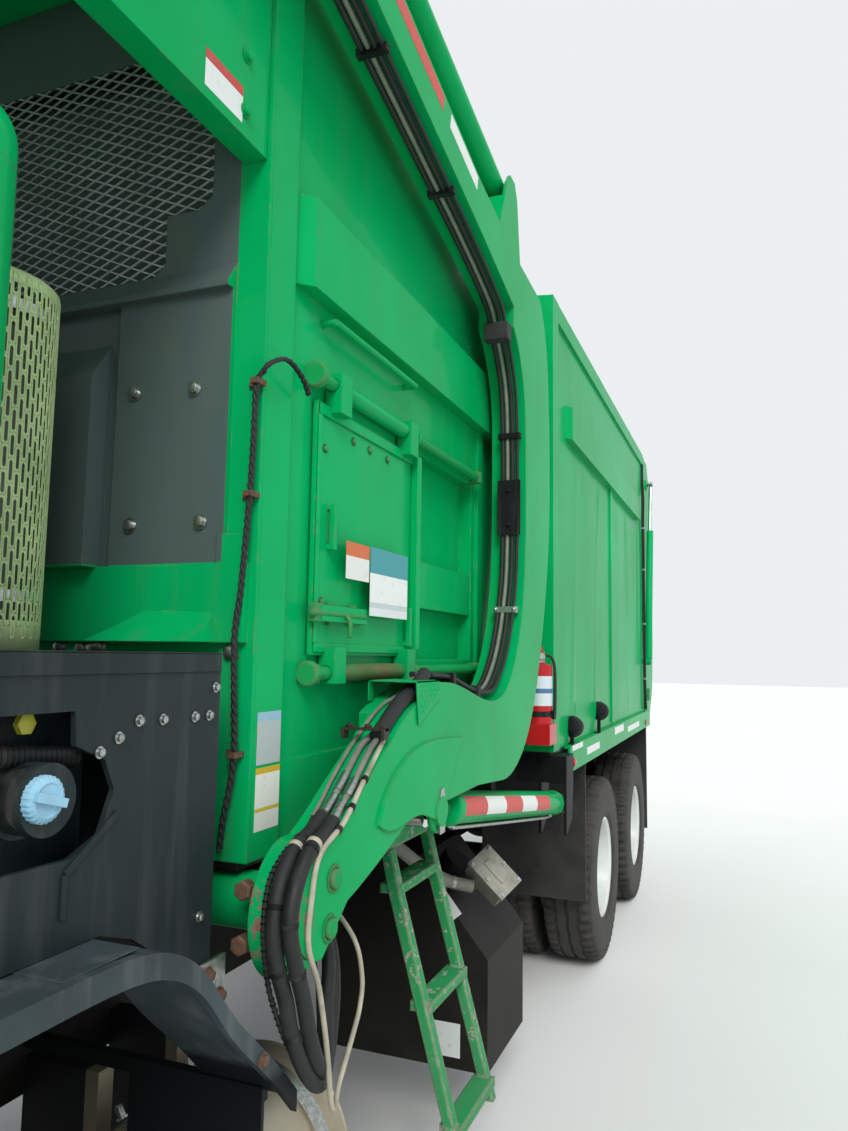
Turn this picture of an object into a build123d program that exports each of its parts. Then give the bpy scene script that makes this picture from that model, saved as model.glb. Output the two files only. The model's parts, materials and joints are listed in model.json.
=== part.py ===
"""Front-loading garbage truck: cab ahead, open hopper, packed-refuse body, over-the-cab lift arms.

Lengths are in millimetres. X runs across the truck (+X is its left side), Z is up from the ground and
Y runs rearward. Stations along Y are counted from the front axle while modelling; every piece is
shifted by MID_STATION on its way out, so that the origin is at the middle of the truck's length.
"""
from build123d import *
import math
import os

# Wheels and axles
TYRE_RADIUS = 525
FRONT_TYRE_WIDTH = 315
REAR_TYRE_WIDTH = 280
RIM_RADIUS = 286
SHOULDER = 35
REAR_AXLE_1 = 4520
REAR_AXLE_2 = 5890
FRONT_WHEEL_X = 1030
DUAL_MID_X = 915
DUAL_SPACING = 340
KINGPIN_X = 870
KINGPIN_RADIUS = 20
HUB_RADIUS = 110
SPINDLE_RADIUS = 40
PIN_CLEARANCE = 0.05
RUNNING_GAP = 6

# Chassis
RAIL_HALF = 430
RAIL_FLANGE = 80
RAIL_WALL = 10
RAIL_BOTTOM = 710
RAIL_TOP = 1010
RAIL_FRONT = -1330
RAIL_REAR = 6560
BUMPER_FRONT = -1460
BUMPER_Z = (450, 700)
HEADLAMP_X = (690, 850)
HEADLAMP_Z = 590
HEADLAMP_RADIUS = 62
HEADLAMP_DEPTH = 14
TOW_EYE_X = 560
TOW_EYE_PLACE = (-1370, 415)
TOW_EYE_BORE = 22
TOW_EYE_WIDTH = 30

# Cab
CAB_HALF = 1030
CAB_WALL = 45
CAB_FLOOR = 1060
CAB_ARCH = 1250
CAB_STEP = -640
SKIRT_BOTTOM = 700
SKIRT_REAR = -1190
SKIRT = 14
CAB_REAR = 225
CAB_ROOF = 2660
CAB_CORNER = 100
CAB_ROOF_EDGE = 80
CAB_FRONT = -1400
DOOR_FRONT = -1210
DOOR_REAR = -420
DOOR_BOTTOM = 1120
DOOR_TOP = CAB_ROOF - 210
DOOR_GAP = 6
DOOR_HINGE = (CAB_HALF + 16, DOOR_FRONT + 3)
DOOR_HINGE_RADIUS = 14
ROOF_SEAM = CAB_ROOF - 120
BROW = CAB_ROOF - 190
WINDOW_TOP = CAB_ROOF - 260
GLASS = 6
MIRROR_X = (CAB_HALF + 32, CAB_HALF + 108)
FENDER_OUTER = CAB_HALF + 220
PANEL_OUTER = CAB_HALF + 120

# Body
BODY_HALF = 1220
HOPPER_HALF = BODY_HALF - 120
HOPPER_FRONT = 765
BODY_FRONT = 3050
BODY_REAR = 6600
BODY_BOTTOM = 1346
BODY_TOP = 3500
PLATE = 12
SHELF_OUTER = BODY_HALF + 30
SHELF_FRONT = BODY_FRONT + 300
SUBFRAME_TOP = 1330
RECESS_X = HOPPER_HALF - 48
CANOPY_BOTTOM = 2880
CANOPY_FRONT = -450

# Side door of the hopper, on its two rails
SIDE_DOOR_Y = (1003, 1638)
SIDE_DOOR_Z = (1771, 2393)
SIDE_DOOR_LAP = 55
DOOR_RAIL_RADIUS = 17
DOOR_RAIL_X = HOPPER_HALF + 26
DOOR_RAIL_UPPER = 2446
DOOR_RAIL_LOWER = 1728
DOOR_RAIL_Y = (975, 2240)

# Lift arms
ARM_OUTER = BODY_HALF + 75
ARM_WIDTH = 135
ARM_INNER = ARM_OUTER - ARM_WIDTH
ARM_PLATE = 12
DOUBLER = 8
ARM_PIVOT = (800, 1264)
ARM_DISC = 140
ARM_END_INNER = ARM_INNER + 30
TORQUE_TUBE_RADIUS = 58
CYLINDER_X = (ARM_INNER + ARM_OUTER) / 2
LIFT_EYE = (1410, 1360)
LIFT_BASE = (3120, 1115)
LIFT_BARREL_RADIUS = 50
LIFT_ROD_RADIUS = 30
FORK_PIVOT = (-1300, 3878)
FORK_BASE = (2120, 3500)
FORK_EYE = (-890, 3970)
FORK_BARREL_RADIUS = 45
FORK_ROD_RADIUS = 24
FORK_TUBE_RADIUS = 70
TINE_LENGTH = 1150
TINE_X = 955
TINE_THICK = 50
TINE_DROP_DEG = 11.3
PIN_RADIUS = 25

# Tailgate
TAILGATE_FRONT = 6606
TAILGATE_REAR = 7150
TAILGATE_HINGE = (6660, 3540)
TAILGATE_WALL = 40
RIB = 34
RIB_WIDTH = 60
GATE_CYLINDER_X = BODY_HALF + 42
GATE_BASE = (6450, 1750)
GATE_EYE = (6780, 3300)
GATE_BARREL_RADIUS = 28
GATE_ROD_RADIUS = 16

# Middle of the overall length, from the bumper's front to the tailgate's rear
MID_STATION = (BUMPER_FRONT + TAILGATE_REAR) / 2


def block(x, y, z):
    """A box between two values on each axis."""
    size = (x[1] - x[0], y[1] - y[0], z[1] - z[0])
    middle = ((x[0] + x[1]) / 2, (y[0] + y[1]) / 2, (z[0] + z[1]) / 2)
    return Pos(*middle) * Box(*size)


def side_plate(points, x):
    """A side-view outline of (station, height) points, carried across from x[0] to x[1]."""
    face = Plane.YZ.offset(x[0]) * make_face(Polyline(*points, close=True))
    return extrude(face, amount=x[1] - x[0])


def side_curve(runs, x):
    """A closed side-view outline, its runs smooth or straight, carried from x[0] to x[1]."""
    edges = []
    for smooth, points in runs:
        edges += Spline(*points).edges() if smooth else Polyline(*points).edges()
    face = Plane.YZ.offset(x[0]) * make_face(edges)
    return extrude(face, amount=x[1] - x[0])


def front_plate(points, y):
    """A front-view outline of (x, height) points, carried rearward from y[0] to y[1]."""
    plane = Plane(origin=(0, y[0], 0), x_dir=(1, 0, 0), z_dir=(0, -1, 0))
    return extrude(plane * make_face(Polyline(*points, close=True)), amount=y[0] - y[1])


def plan_plate(points, z):
    """A plan outline of (x, station) points, carried up from z[0] to z[1]."""
    face = Pos(0, 0, z[0]) * make_face(Polyline(*points, close=True))
    return extrude(face, amount=z[1] - z[0])


def rod_x(radius, x, place):
    """A cylinder across the truck at a (station, height) place."""
    turned = Pos((x[0] + x[1]) / 2, place[0], place[1]) * Rot(0, 90, 0)
    return turned * Cylinder(radius, x[1] - x[0])


def rod_y(radius, y, x, z):
    """A cylinder along the truck."""
    return Pos(x, (y[0] + y[1]) / 2, z) * Rot(90, 0, 0) * Cylinder(radius, y[1] - y[0])


def rod_z(radius, z, x, y):
    """An upright cylinder."""
    return Pos(x, y, (z[0] + z[1]) / 2) * Cylinder(radius, z[1] - z[0])


def rod_between(radius, start, end, x, gap_start=0, gap_end=0):
    """A cylinder in the plane at x, from one (station, height) place to another."""
    run = math.dist(start, end)
    unit = ((end[0] - start[0]) / run, (end[1] - start[1]) / run)
    origin = (x, start[0] + unit[0] * gap_start, start[1] + unit[1] * gap_start)
    plane = Plane(origin=origin, x_dir=(1, 0, 0), z_dir=(0, unit[0], unit[1]))
    return extrude(plane * Circle(radius), amount=run - gap_start - gap_end)


def along(start, end, distance):
    """The place that lies a distance from start towards end."""
    share = distance / math.dist(start, end)
    return (start[0] + (end[0] - start[0]) * share, start[1] + (end[1] - start[1]) * share)


def mirrored(shape):
    """The same shape on the truck's other side."""
    return mirror(shape, about=Plane.YZ)


def both(shape):
    """A piece and its mirror image, as solids that don't touch."""
    return Compound(children=[*shape.solids(), *mirrored(shape).solids()])


def save(name, shape):
    """Write one node, shifted so that the origin is at the middle of the truck's length."""
    solids = [Pos(0, -MID_STATION, 0) * solid for solid in shape.solids()]
    whole = solids[0] if len(solids) == 1 else Compound(children=solids)
    whole.label = name
    export_step(whole, f"parts/{name}.step")


def turned_about_x(profile, y, z=TYRE_RADIUS):
    """A closed outline of (x, radius) points, turned round a wheel's axle at station y."""
    face = make_face(Polyline(*[(x, r, 0) for x, r in profile], close=True))
    solid = revolve(face, Axis.X)
    return Pos(0, y, z) * solid


def tyre(middle, width, y):
    """A plain tyre with bevelled shoulders and a bulged wall, on the rim's seat."""
    half = width / 2
    seat = half - SHOULDER / 2
    outline = [
        (middle - seat, RIM_RADIUS),
        (middle - half, RIM_RADIUS + 2 * SHOULDER),
        (middle - half, TYRE_RADIUS - 2 * SHOULDER),
        (middle - half + SHOULDER / 2, TYRE_RADIUS - SHOULDER / 3),
        (middle - half + SHOULDER, TYRE_RADIUS),
        (middle + half - SHOULDER, TYRE_RADIUS),
        (middle + half - SHOULDER / 2, TYRE_RADIUS - SHOULDER / 3),
        (middle + half, TYRE_RADIUS - 2 * SHOULDER),
        (middle + half, RIM_RADIUS + 2 * SHOULDER),
        (middle + seat, RIM_RADIUS),
    ]
    return turned_about_x(outline, y)


def rim_outline(middle, width, disc, outward):
    """Half of a wheel's section: the barrel, and a dish down to the bolting face at disc."""
    half = width / 2 - SHOULDER / 2
    wall = 14
    lip = middle + outward * half
    back = middle - outward * half
    return [
        (lip, RIM_RADIUS),
        (back, RIM_RADIUS),
        (back, RIM_RADIUS - wall),
        (disc - outward * wall, RIM_RADIUS - 60),
        (disc - outward * wall, HUB_RADIUS),
        (disc, HUB_RADIUS),
        (disc, RIM_RADIUS - 75),
        (lip - outward * wall, RIM_RADIUS - wall - 12),
        (lip, RIM_RADIUS - wall),
    ]


def front_rim():
    """The left front wheel's rim with its hub, whose bore runs on the spindle."""
    disc = FRONT_WHEEL_X + 85
    dish = turned_about_x(rim_outline(FRONT_WHEEL_X, FRONT_TYRE_WIDTH, disc, 1), 0)
    hub = rod_x(HUB_RADIUS, (FRONT_WHEEL_X - 45, disc + 15), (0, TYRE_RADIUS))
    cap = rod_x(62, (disc + 15, disc + 65), (0, TYRE_RADIUS))
    bore_end = FRONT_WHEEL_X + 60
    bore = rod_x(SPINDLE_RADIUS + PIN_CLEARANCE, (FRONT_WHEEL_X - 60, bore_end + 5), (0, TYRE_RADIUS))
    return dish + hub + cap - bore - hand_holes(0, disc, 1)


def hand_holes(y, disc, outward):
    """Round holes through a wheel's dish, evenly spaced."""
    count, pitch, radius = 8, 175, 24
    x = (disc - 60, disc + 60)
    holes = Part()
    for i in range(count):
        angle = math.radians(360 * i / count)
        place = (y + pitch * math.cos(angle), TYRE_RADIUS + pitch * math.sin(angle))
        holes += rod_x(radius, x, place)
    return holes


def rear_rims(y):
    """The left twin rims, bolted back to back on one hub."""
    outer = rim_outline(DUAL_MID_X + DUAL_SPACING / 2, REAR_TYRE_WIDTH, DUAL_MID_X + 14, 1)
    inner = rim_outline(DUAL_MID_X - DUAL_SPACING / 2, REAR_TYRE_WIDTH, DUAL_MID_X - 14, -1)
    dishes = turned_about_x(outer, y) + turned_about_x(inner, y)
    hub = rod_x(HUB_RADIUS, (DUAL_MID_X - 70, DUAL_MID_X + 110), (y, TYRE_RADIUS))
    flange = rod_x(75, (DUAL_MID_X + 110, DUAL_MID_X + 135), (y, TYRE_RADIUS))
    bore_end = DUAL_MID_X + 70
    bore = rod_x(SPINDLE_RADIUS + PIN_CLEARANCE, (DUAL_MID_X - 80, bore_end + 5), (y, TYRE_RADIUS))
    return dishes + hub + flange - bore - hand_holes(y, DUAL_MID_X, 1)


def knuckle():
    """The left steering knuckle: two ears on the kingpin, a back plate and the wheel's spindle."""
    ears = Part()
    for low, high in ((405, 450), (600, 645)):
        ears += rod_z(50, (low, high), KINGPIN_X, 0)
        ears += block((KINGPIN_X, 960), (-45, 45), (low, high))
    pin = rod_z(KINGPIN_RADIUS, (405, 645), KINGPIN_X, 0)
    back = block((932, 960), (-45, 45), (405, 645))
    spindle = rod_x(SPINDLE_RADIUS, (960, FRONT_WHEEL_X + 60), (0, TYRE_RADIUS))
    arm = block((KINGPIN_X - 18, KINGPIN_X + 18), (30, 230), (410, 440))
    return ears + pin + back + spindle + arm


def axles():
    """The steered beam with its leaf springs, and the two driven axles with their beams and shaft."""
    eye = rod_z(55, (456, 594), KINGPIN_X, 0) - rod_z(KINGPIN_RADIUS + PIN_CLEARANCE, (450, 600), KINGPIN_X, 0)
    end = block((620, KINGPIN_X - 40), (-45, 45), (465, 585))
    drop = front_plate([(380, 400), (640, 465), (640, 585), (380, 520)], (-45, 45))
    beam = eye + (end - rod_z(KINGPIN_RADIUS + PIN_CLEARANCE, (450, 600), KINGPIN_X, 0)) + drop
    middle = block((-380, 380), (-45, 45), (400, 520))
    spring = side_plate(
        [(-640, 640), (-300, 560), (300, 560), (640, 640), (640, 664), (300, 600), (-300, 600), (-640, 664)],
        (345, 425),
    )
    seat = block((345, 425), (-90, 90), (520, 560))
    hangers = block((350, 420), (-640, -560), (655, RAIL_BOTTOM)) + block((350, 420), (560, 640), (655, RAIL_BOTTOM))
    front = beam + mirrored(beam) + middle + spring + seat + hangers + mirrored(spring + seat + hangers)

    rear = Part()
    for y in (REAR_AXLE_1, REAR_AXLE_2):
        rear += rod_x(65, (-(DUAL_MID_X - 90), DUAL_MID_X - 90), (y, TYRE_RADIUS))
        spindle = rod_x(SPINDLE_RADIUS, (DUAL_MID_X - 90, DUAL_MID_X + 70), (y, TYRE_RADIUS))
        rear += spindle + mirrored(spindle)
        rear += Pos(0, y, TYRE_RADIUS) * Sphere(190)
        rear += rod_y(70, (y - 300, y - 100), 0, TYRE_RADIUS + 30)
    walking = side_plate(
        [
            (REAR_AXLE_1 - 90, 430), (REAR_AXLE_2 + 90, 430), (REAR_AXLE_2 + 90, 590),
            (REAR_AXLE_2 - 250, 560), (REAR_AXLE_1 + 250, 560), (REAR_AXLE_1 - 90, 590),
        ],
        (450, 560),
    )
    saddle_y = (REAR_AXLE_1 + REAR_AXLE_2) / 2
    saddle = block((RAIL_HALF, 540), (saddle_y - 160, saddle_y + 160), (540, 940))
    rear += walking + saddle + mirrored(walking + saddle)
    rear += rod_y(52, (REAR_AXLE_1 + 170, REAR_AXLE_2 - 300), 0, TYRE_RADIUS + 30)
    start, end_ = (1162, 745), (REAR_AXLE_1 - 290, TYRE_RADIUS + 30)
    rear += rod_between(52, start, end_, 0)
    return Compound(children=[*front.solids(), *rear.solids()])


def frame_rails():
    """Two channel rails, flanges inward, tied by cross-members."""
    web = block((RAIL_HALF - RAIL_WALL, RAIL_HALF), (RAIL_FRONT, RAIL_REAR), (RAIL_BOTTOM, RAIL_TOP))
    rails = web
    for z in ((RAIL_BOTTOM, RAIL_BOTTOM + RAIL_WALL), (RAIL_TOP - RAIL_WALL, RAIL_TOP)):
        rails += block((RAIL_HALF - RAIL_FLANGE, RAIL_HALF), (RAIL_FRONT, RAIL_REAR), z)
    rails += mirrored(rails)
    inner = RAIL_HALF - RAIL_WALL
    for y in (RAIL_FRONT + 40, 1250, 2300, 3400, REAR_AXLE_1 + 60, REAR_AXLE_2 - 60, RAIL_REAR - 60):
        rails += block((-inner, inner), (y - 40, y + 40), (RAIL_TOP - 170, RAIL_TOP - RAIL_WALL))
    return rails


def engine_block():
    """Engine and gearbox as one plain block, slung between the rails."""
    inner = RAIL_HALF - RAIL_FLANGE - 20
    engine = block((-inner, inner), (-950, 330), (600, 1040))
    gearbox = rod_y(215, (330, 1150), 0, 800)
    mounts = Part()
    for y in (-700, 150):
        arm = block((inner, RAIL_HALF - RAIL_WALL), (y - 60, y + 60), (760, 820))
        mounts += arm + mirrored(arm)
    return engine + gearbox + mounts


CAB_SIDE = [
    (CAB_FRONT, CAB_FLOOR), (CAB_FRONT, 1560), (CAB_FRONT + 120, BROW), (CAB_FRONT + 230, CAB_ROOF),
    (CAB_REAR, CAB_ROOF), (CAB_REAR, CAB_ARCH), (CAB_STEP, CAB_ARCH), (CAB_STEP, CAB_FLOOR),
]


def cab_solid(inset):
    """The cab's outer form, drawn in by inset on every side."""
    face = make_face(Polyline(*CAB_SIDE, close=True))
    if inset:
        face = offset(face, amount=-inset, kind=Kind.INTERSECTION)
    profile = extrude(Plane.YZ.offset(-CAB_HALF) * face, amount=2 * CAB_HALF)
    whole = profile & cab_plan(inset, (CAB_FLOOR - 50, CAB_ROOF + 50))
    return fillet(whole.faces().sort_by(Axis.Z)[-1].edges(), CAB_ROOF_EDGE - inset)


def cab_plan(inset, z):
    """The cab's rounded plan outline, drawn in by inset and carried up from z[0] to z[1]."""
    depth = CAB_REAR - CAB_FRONT
    outline = RectangleRounded(2 * (CAB_HALF - inset), depth - 2 * inset, CAB_CORNER - inset / 2)
    return extrude(Pos(0, CAB_FRONT + depth / 2, z[0]) * outline, amount=z[1] - z[0])


def cab_pieces():
    """The hollow cab, split into shell, front panel, roof, doors and glass."""
    shell = cab_solid(0) - cab_solid(CAB_WALL)
    layer = cab_solid(18) - cab_solid(18 + GLASS)
    wide = (-CAB_HALF - 50, CAB_HALF + 50)
    screen_hole = block((-900, 900), (CAB_FRONT - 60, CAB_FRONT + 300), (1640, WINDOW_TOP))
    rear_hole = block((-420, 420), (CAB_REAR - 100, CAB_REAR + 50), (1850, WINDOW_TOP - 50))
    quarter_hole = block(wide, (DOOR_REAR + 110, CAB_REAR - 170), (1760, WINDOW_TOP))
    wall = (CAB_HALF - CAB_WALL, CAB_HALF + 50)
    door_hole = block(wall, (DOOR_FRONT, DOOR_REAR), (DOOR_BOTTOM, DOOR_TOP))
    door_hole += mirrored(door_hole)
    window_hole = side_plate(
        [
            (DOOR_FRONT + 70, 1620), (DOOR_REAR - 80, 1620), (DOOR_REAR - 80, DOOR_TOP - 90),
            (DOOR_FRONT + 130, DOOR_TOP - 90), (DOOR_FRONT + 70, DOOR_TOP - 300),
        ],
        wide,
    )
    leaf = block(
        wall, (DOOR_FRONT + DOOR_GAP, DOOR_REAR - DOOR_GAP), (DOOR_BOTTOM + DOOR_GAP, DOOR_TOP - DOOR_GAP)
    )
    leaf += mirrored(leaf)
    front_zone = block(wide, (CAB_FRONT - 50, CAB_FRONT + 145), (CAB_FLOOR, BROW))
    roof_zone = block(wide, (CAB_FRONT - 50, CAB_REAR + 50), (ROOF_SEAM, CAB_ROOF + 50))
    openings = screen_hole + rear_hole + quarter_hole + door_hole
    roof = shell & roof_zone
    skirt_z = (SKIRT_BOTTOM, CAB_FLOOR)
    skirt = cab_plan(0, skirt_z) - cab_plan(SKIRT, skirt_z)
    skirt &= block(wide, (CAB_FRONT - 50, SKIRT_REAR), skirt_z)
    for z in range(SKIRT_BOTTOM + 60, CAB_FLOOR - 60, 60):
        skirt -= block((-700, 700), (CAB_FRONT - 20, CAB_FRONT + 40), (z, z + 30))
    front = (shell & front_zone) - screen_hole + skirt
    body = shell - openings - roof_zone - front_zone
    rail = (RAIL_HALF - RAIL_FLANGE, RAIL_HALF)
    mounts = block(rail, (CAB_FRONT + 160, CAB_FRONT + 260), (RAIL_TOP, CAB_FLOOR))
    mounts += block(rail, (CAB_REAR - 130, CAB_REAR - 30), (RAIL_TOP, CAB_ARCH))
    body += mounts + mirrored(mounts)
    doors = ((shell & leaf) - window_hole + door_hinges()).solids()
    door_glass = (layer & window_hole).solids()
    glass = [
        *(layer & screen_hole).solids(),
        *(layer & rear_hole).solids(),
        *(layer & quarter_hole).solids(),
    ]
    left_door = Compound(children=[s for s in doors if s.center().X > 0])
    right_door = Compound(children=[s for s in doors if s.center().X < 0])
    left_glass = Compound(children=[s for s in door_glass if s.center().X > CAB_HALF - 100])
    right_glass = Compound(children=[s for s in door_glass if s.center().X < 100 - CAB_HALF])
    return {
        "cab_shell": body,
        "cab_roof": roof,
        "cab_front": front,
        "cab_glass": Compound(children=glass),
        "cab_door_left": left_door,
        "cab_door_right": right_door,
        "door_glass_left": left_glass,
        "door_glass_right": right_glass,
    }


def door_hinges():
    """The strap hinges of both cab doors, each wrapped round its upright pin line."""
    x, y = DOOR_HINGE
    hinges = Part()
    for z in (DOOR_BOTTOM + 120, 1480, DOOR_TOP - 200):
        hinges += rod_z(DOOR_HINGE_RADIUS, (z, z + 70), x, y)
        hinges += block((CAB_HALF - 2, x + 6), (y + 8, y + 110), (z + 10, z + 60))
    return hinges + mirrored(hinges)


def cab_interior():
    """Two seats, the dashboard with its column, and the steering wheel."""
    floor = CAB_ARCH + CAB_WALL
    seat = block((330, 830), (-580, -130), (floor + 60, floor + 300))
    seat += block((330, 830), (-130, 10), (floor + 60, floor + 880))
    seat += block((430, 730), (-500, -200), (floor, floor + 60))
    dash_rear = CAB_FRONT + 400
    dash = block((170 - CAB_HALF, CAB_HALF - 170), (CAB_FRONT + CAB_WALL, dash_rear), (1330, 1550))
    lean = Rot(-50, 0, 0)
    wheel_at = Pos(580, dash_rear + 150, 1690)
    column = wheel_at * lean * Pos(0, 0, -125) * Cylinder(30, 250)
    wheel = wheel_at * lean * (Torus(210, 16) + Box(420, 30, 12) + Box(30, 420, 12))
    return Compound(children=[*seat.solids(), *mirrored(seat).solids(), *(dash + column + wheel).solids()])


def bumpers():
    """The front bumper with its corner returns, and the rear underrun bar on its stays."""
    half = HOPPER_HALF
    front = plan_plate(
        [
            (-half, BUMPER_FRONT + 140), (-half + 120, BUMPER_FRONT), (half - 120, BUMPER_FRONT),
            (half, BUMPER_FRONT + 140), (half, BUMPER_FRONT + 330), (half - 40, BUMPER_FRONT + 330),
            (half - 40, RAIL_FRONT), (-half + 40, RAIL_FRONT),
            (-half + 40, BUMPER_FRONT + 330), (-half, BUMPER_FRONT + 330),
        ],
        BUMPER_Z,
    )
    front += block(
        (-RAIL_HALF, RAIL_HALF), (RAIL_FRONT - 50, RAIL_FRONT), (BUMPER_Z[1] - 10, BUMPER_Z[1] + 200)
    )
    for side in (-1, 1):
        for x in HEADLAMP_X:
            pocket = (BUMPER_FRONT - 1, BUMPER_FRONT + HEADLAMP_DEPTH)
            front -= rod_y(HEADLAMP_RADIUS + 2, pocket, side * x, HEADLAMP_Z)
        eye_x = (side * TOW_EYE_X - TOW_EYE_WIDTH / 2, side * TOW_EYE_X + TOW_EYE_WIDTH / 2)
        y, z = TOW_EYE_PLACE
        eye = block(eye_x, (y - 45, y + 45), (z, BUMPER_Z[0] + 2)) + rod_x(45, eye_x, TOW_EYE_PLACE)
        front += eye - rod_x(TOW_EYE_BORE, (eye_x[0] - 5, eye_x[1] + 5), TOW_EYE_PLACE)
    bar = block((-1050, 1050), (RAIL_REAR + 60, RAIL_REAR + 140), (480, 600))
    for side in (-1, 1):
        stay = sorted((side * 380, side * 400))
        bar += block(stay, (RAIL_REAR, RAIL_REAR + 60), (500, 980))
    return Compound(children=[*front.solids(), *bar.solids()])


def lamps():
    """Headlamps in the bumper, tail lamps on the rear post and round work lamps on the shelf."""
    pieces = []
    for side in (-1, 1):
        for x in HEADLAMP_X:
            depth = (BUMPER_FRONT + 1, BUMPER_FRONT + HEADLAMP_DEPTH)
            pieces += rod_y(HEADLAMP_RADIUS, depth, side * x, HEADLAMP_Z).solids()
        for x in (720, 850, 980):
            pieces += rod_y(50, (RAIL_REAR + 140, RAIL_REAR + 165), side * x, 540).solids()
    return pieces


def front_fenders():
    """Flared arches over the front wheels, each with a rolled lip and a flap behind the wheel."""
    lip = [
        (-690, 880), (-600, 1010), (-420, 1190), (-250, 1285), (-100, 1316), (80, 1321), (240, 1320),
        (330, 1308), (431, 1256), (522, 1155), (639, 1043), (762, 920),
    ]
    thick = 14
    drop = 26
    skin = [(y, z + thick) for y, z in reversed(lip)]
    arch = side_curve(
        [(True, lip), (False, [lip[-1], skin[0]]), (True, skin), (False, [skin[-1], lip[0]])],
        (CAB_HALF + 5, FENDER_OUTER),
    )
    rolled = [(y, z - drop) for y, z in reversed(lip)]
    edge = side_curve(
        [(True, lip), (False, [lip[-1], rolled[0]]), (True, rolled), (False, [rolled[-1], lip[0]])],
        (FENDER_OUTER - thick, FENDER_OUTER),
    )
    reach = FENDER_OUTER - 70
    flap = block((860, reach), (748, 758), (330, 900))
    stay = block((RAIL_HALF, reach), (748, 770), (900, 930))
    return both(arch + edge + flap + stay)


def side_panels():
    """The dark boxes behind the cab, over the rear of each front fender, and the cab's steps."""
    deck = 1760
    outer = PANEL_OUTER
    inner = 540
    rear = 600
    front = -40
    behind = CAB_REAR + 6
    over_arch = [(rear, 1106), (528, 1175), (436, 1278), (385, 1312), (310, 1339), (front, 1339)]
    box = side_plate([(front, deck), (rear, deck)] + over_arch, (outer - 10, outer))
    box += block((CAB_HALF + 10, outer), (front, behind), (deck, deck + 12))
    box += block((inner, outer), (behind, rear), (deck, deck + 12))
    box += block((inner, outer - 10), (rear - 10, rear), (1270, deck))
    box += block((inner, inner + 10), (behind, rear - 10), (1100, deck))
    filler = side_plate(
        [
            (60, 1470), (240, 1468), (300, 1493), (326, 1557), (302, 1606), (240, 1632), (235, 1684),
            (60, 1684),
        ],
        (outer - 20, outer + 5),
    )
    stay = block((RAIL_HALF, inner + 10), (rear - 60, rear), (960, 1000))
    stay += block((inner, inner + 10), (rear - 60, rear), (960, 1101))
    left = box - filler + stay
    cap_at = (185, 1562)
    cap = rod_x(52, (outer - 45, outer + 8), cap_at) + rod_x(60, (CAB_HALF + 10, outer - 45), cap_at)
    steps = Part()
    for z, reach in ((420, 1090), (740, 1060)):
        steps += block((760, reach), (-1130, -720), (z, z + 35))
    steps += block((760, 790), (-1130, -720), (420, 800))
    steps += block((RAIL_HALF, 790), (-1000, -900), (800, 840))
    right = mirrored(box + stay)
    return Compound(
        children=[*(left + cap).solids(), *right.solids(), *both(steps).solids()]
    )


def exhaust():
    """The upright stack behind the cab's left corner, and the slotted guard round it."""
    x, y = 700, 385
    deck, top = 1772, 2480
    bore = 56
    stack = rod_z(bore, (deck, 2720), x, y)
    guard = rod_z(150, (deck, top), x, y) - rod_z(146, (deck - 10, top + 10), x, y)
    slots = Part()
    rows, columns, pitch = 7, 10, 96
    for row in range(rows):
        for column in range(columns):
            angle = 360 / columns * (column + (row % 2) / 2)
            z = deck + 66 + row * pitch
            slots += Pos(x, y, z) * Rot(0, 0, angle) * Pos(148, 0, 0) * Box(30, 26, 62)
    guard -= slots
    for z in (deck, top - 12):
        guard += rod_z(150, (z, z + 12), x, y) - rod_z(bore, (z - 5, z + 17), x, y)
    return stack, guard


def mirrors():
    """Mirror heads on bent arms off the cab's front corners, kept inside the path of the lift arms."""
    head = block(MIRROR_X, (CAB_FRONT - 40, CAB_FRONT + 40), (1700, 2150))
    head = fillet(head.edges().filter_by(Axis.Z), 30)
    arm = Part()
    for z in (1760, 2080):
        arm += block((CAB_HALF - 60, MIRROR_X[0]), (CAB_FRONT - 6, CAB_FRONT + 22), (z, z + 24))
    return both(head), arm


def tanks():
    """The round fuel tank on straps, the hydraulic tank with its sloped corner, and the battery box."""
    x, z, radius = 860, 500, 235
    tank = rod_y(radius, (800, 1320), x, z)
    for y in (890, 1180):
        tank += rod_y(radius + 6, (y, y + 50), x, z)
        tank += block((RAIL_HALF, x - radius + 30), (y, y + 50), (z - 20, RAIL_BOTTOM + 90))
    filler = rod_z(40, (z + radius - 20, z + radius + 40), x + 40, 1100)
    tank += filler
    hydraulic = front_plate([(500, 260), (1150, 260), (1150, 660), (860, 1000), (500, 1000)], (2340, 2840))
    hydraulic += block((RAIL_HALF, 500), (2440, 2740), (740, 980))
    hydraulic += Pos(930, 2470, 900) * Rot(0, 40, 0) * Cylinder(70, 200)
    batteries = block((-1120, -600), (900, 1500), (480, 900))
    batteries += block((-600, -RAIL_HALF), (980, 1420), (740, 880))
    air = rod_y(130, (1750, 2500), -800, 700)
    for y in (1900, 2290):
        air += block((-690, -RAIL_HALF), (y, y + 60), (680, 740))
    return tank, hydraulic, Compound(children=[*batteries.solids(), *air.solids()])


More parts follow.
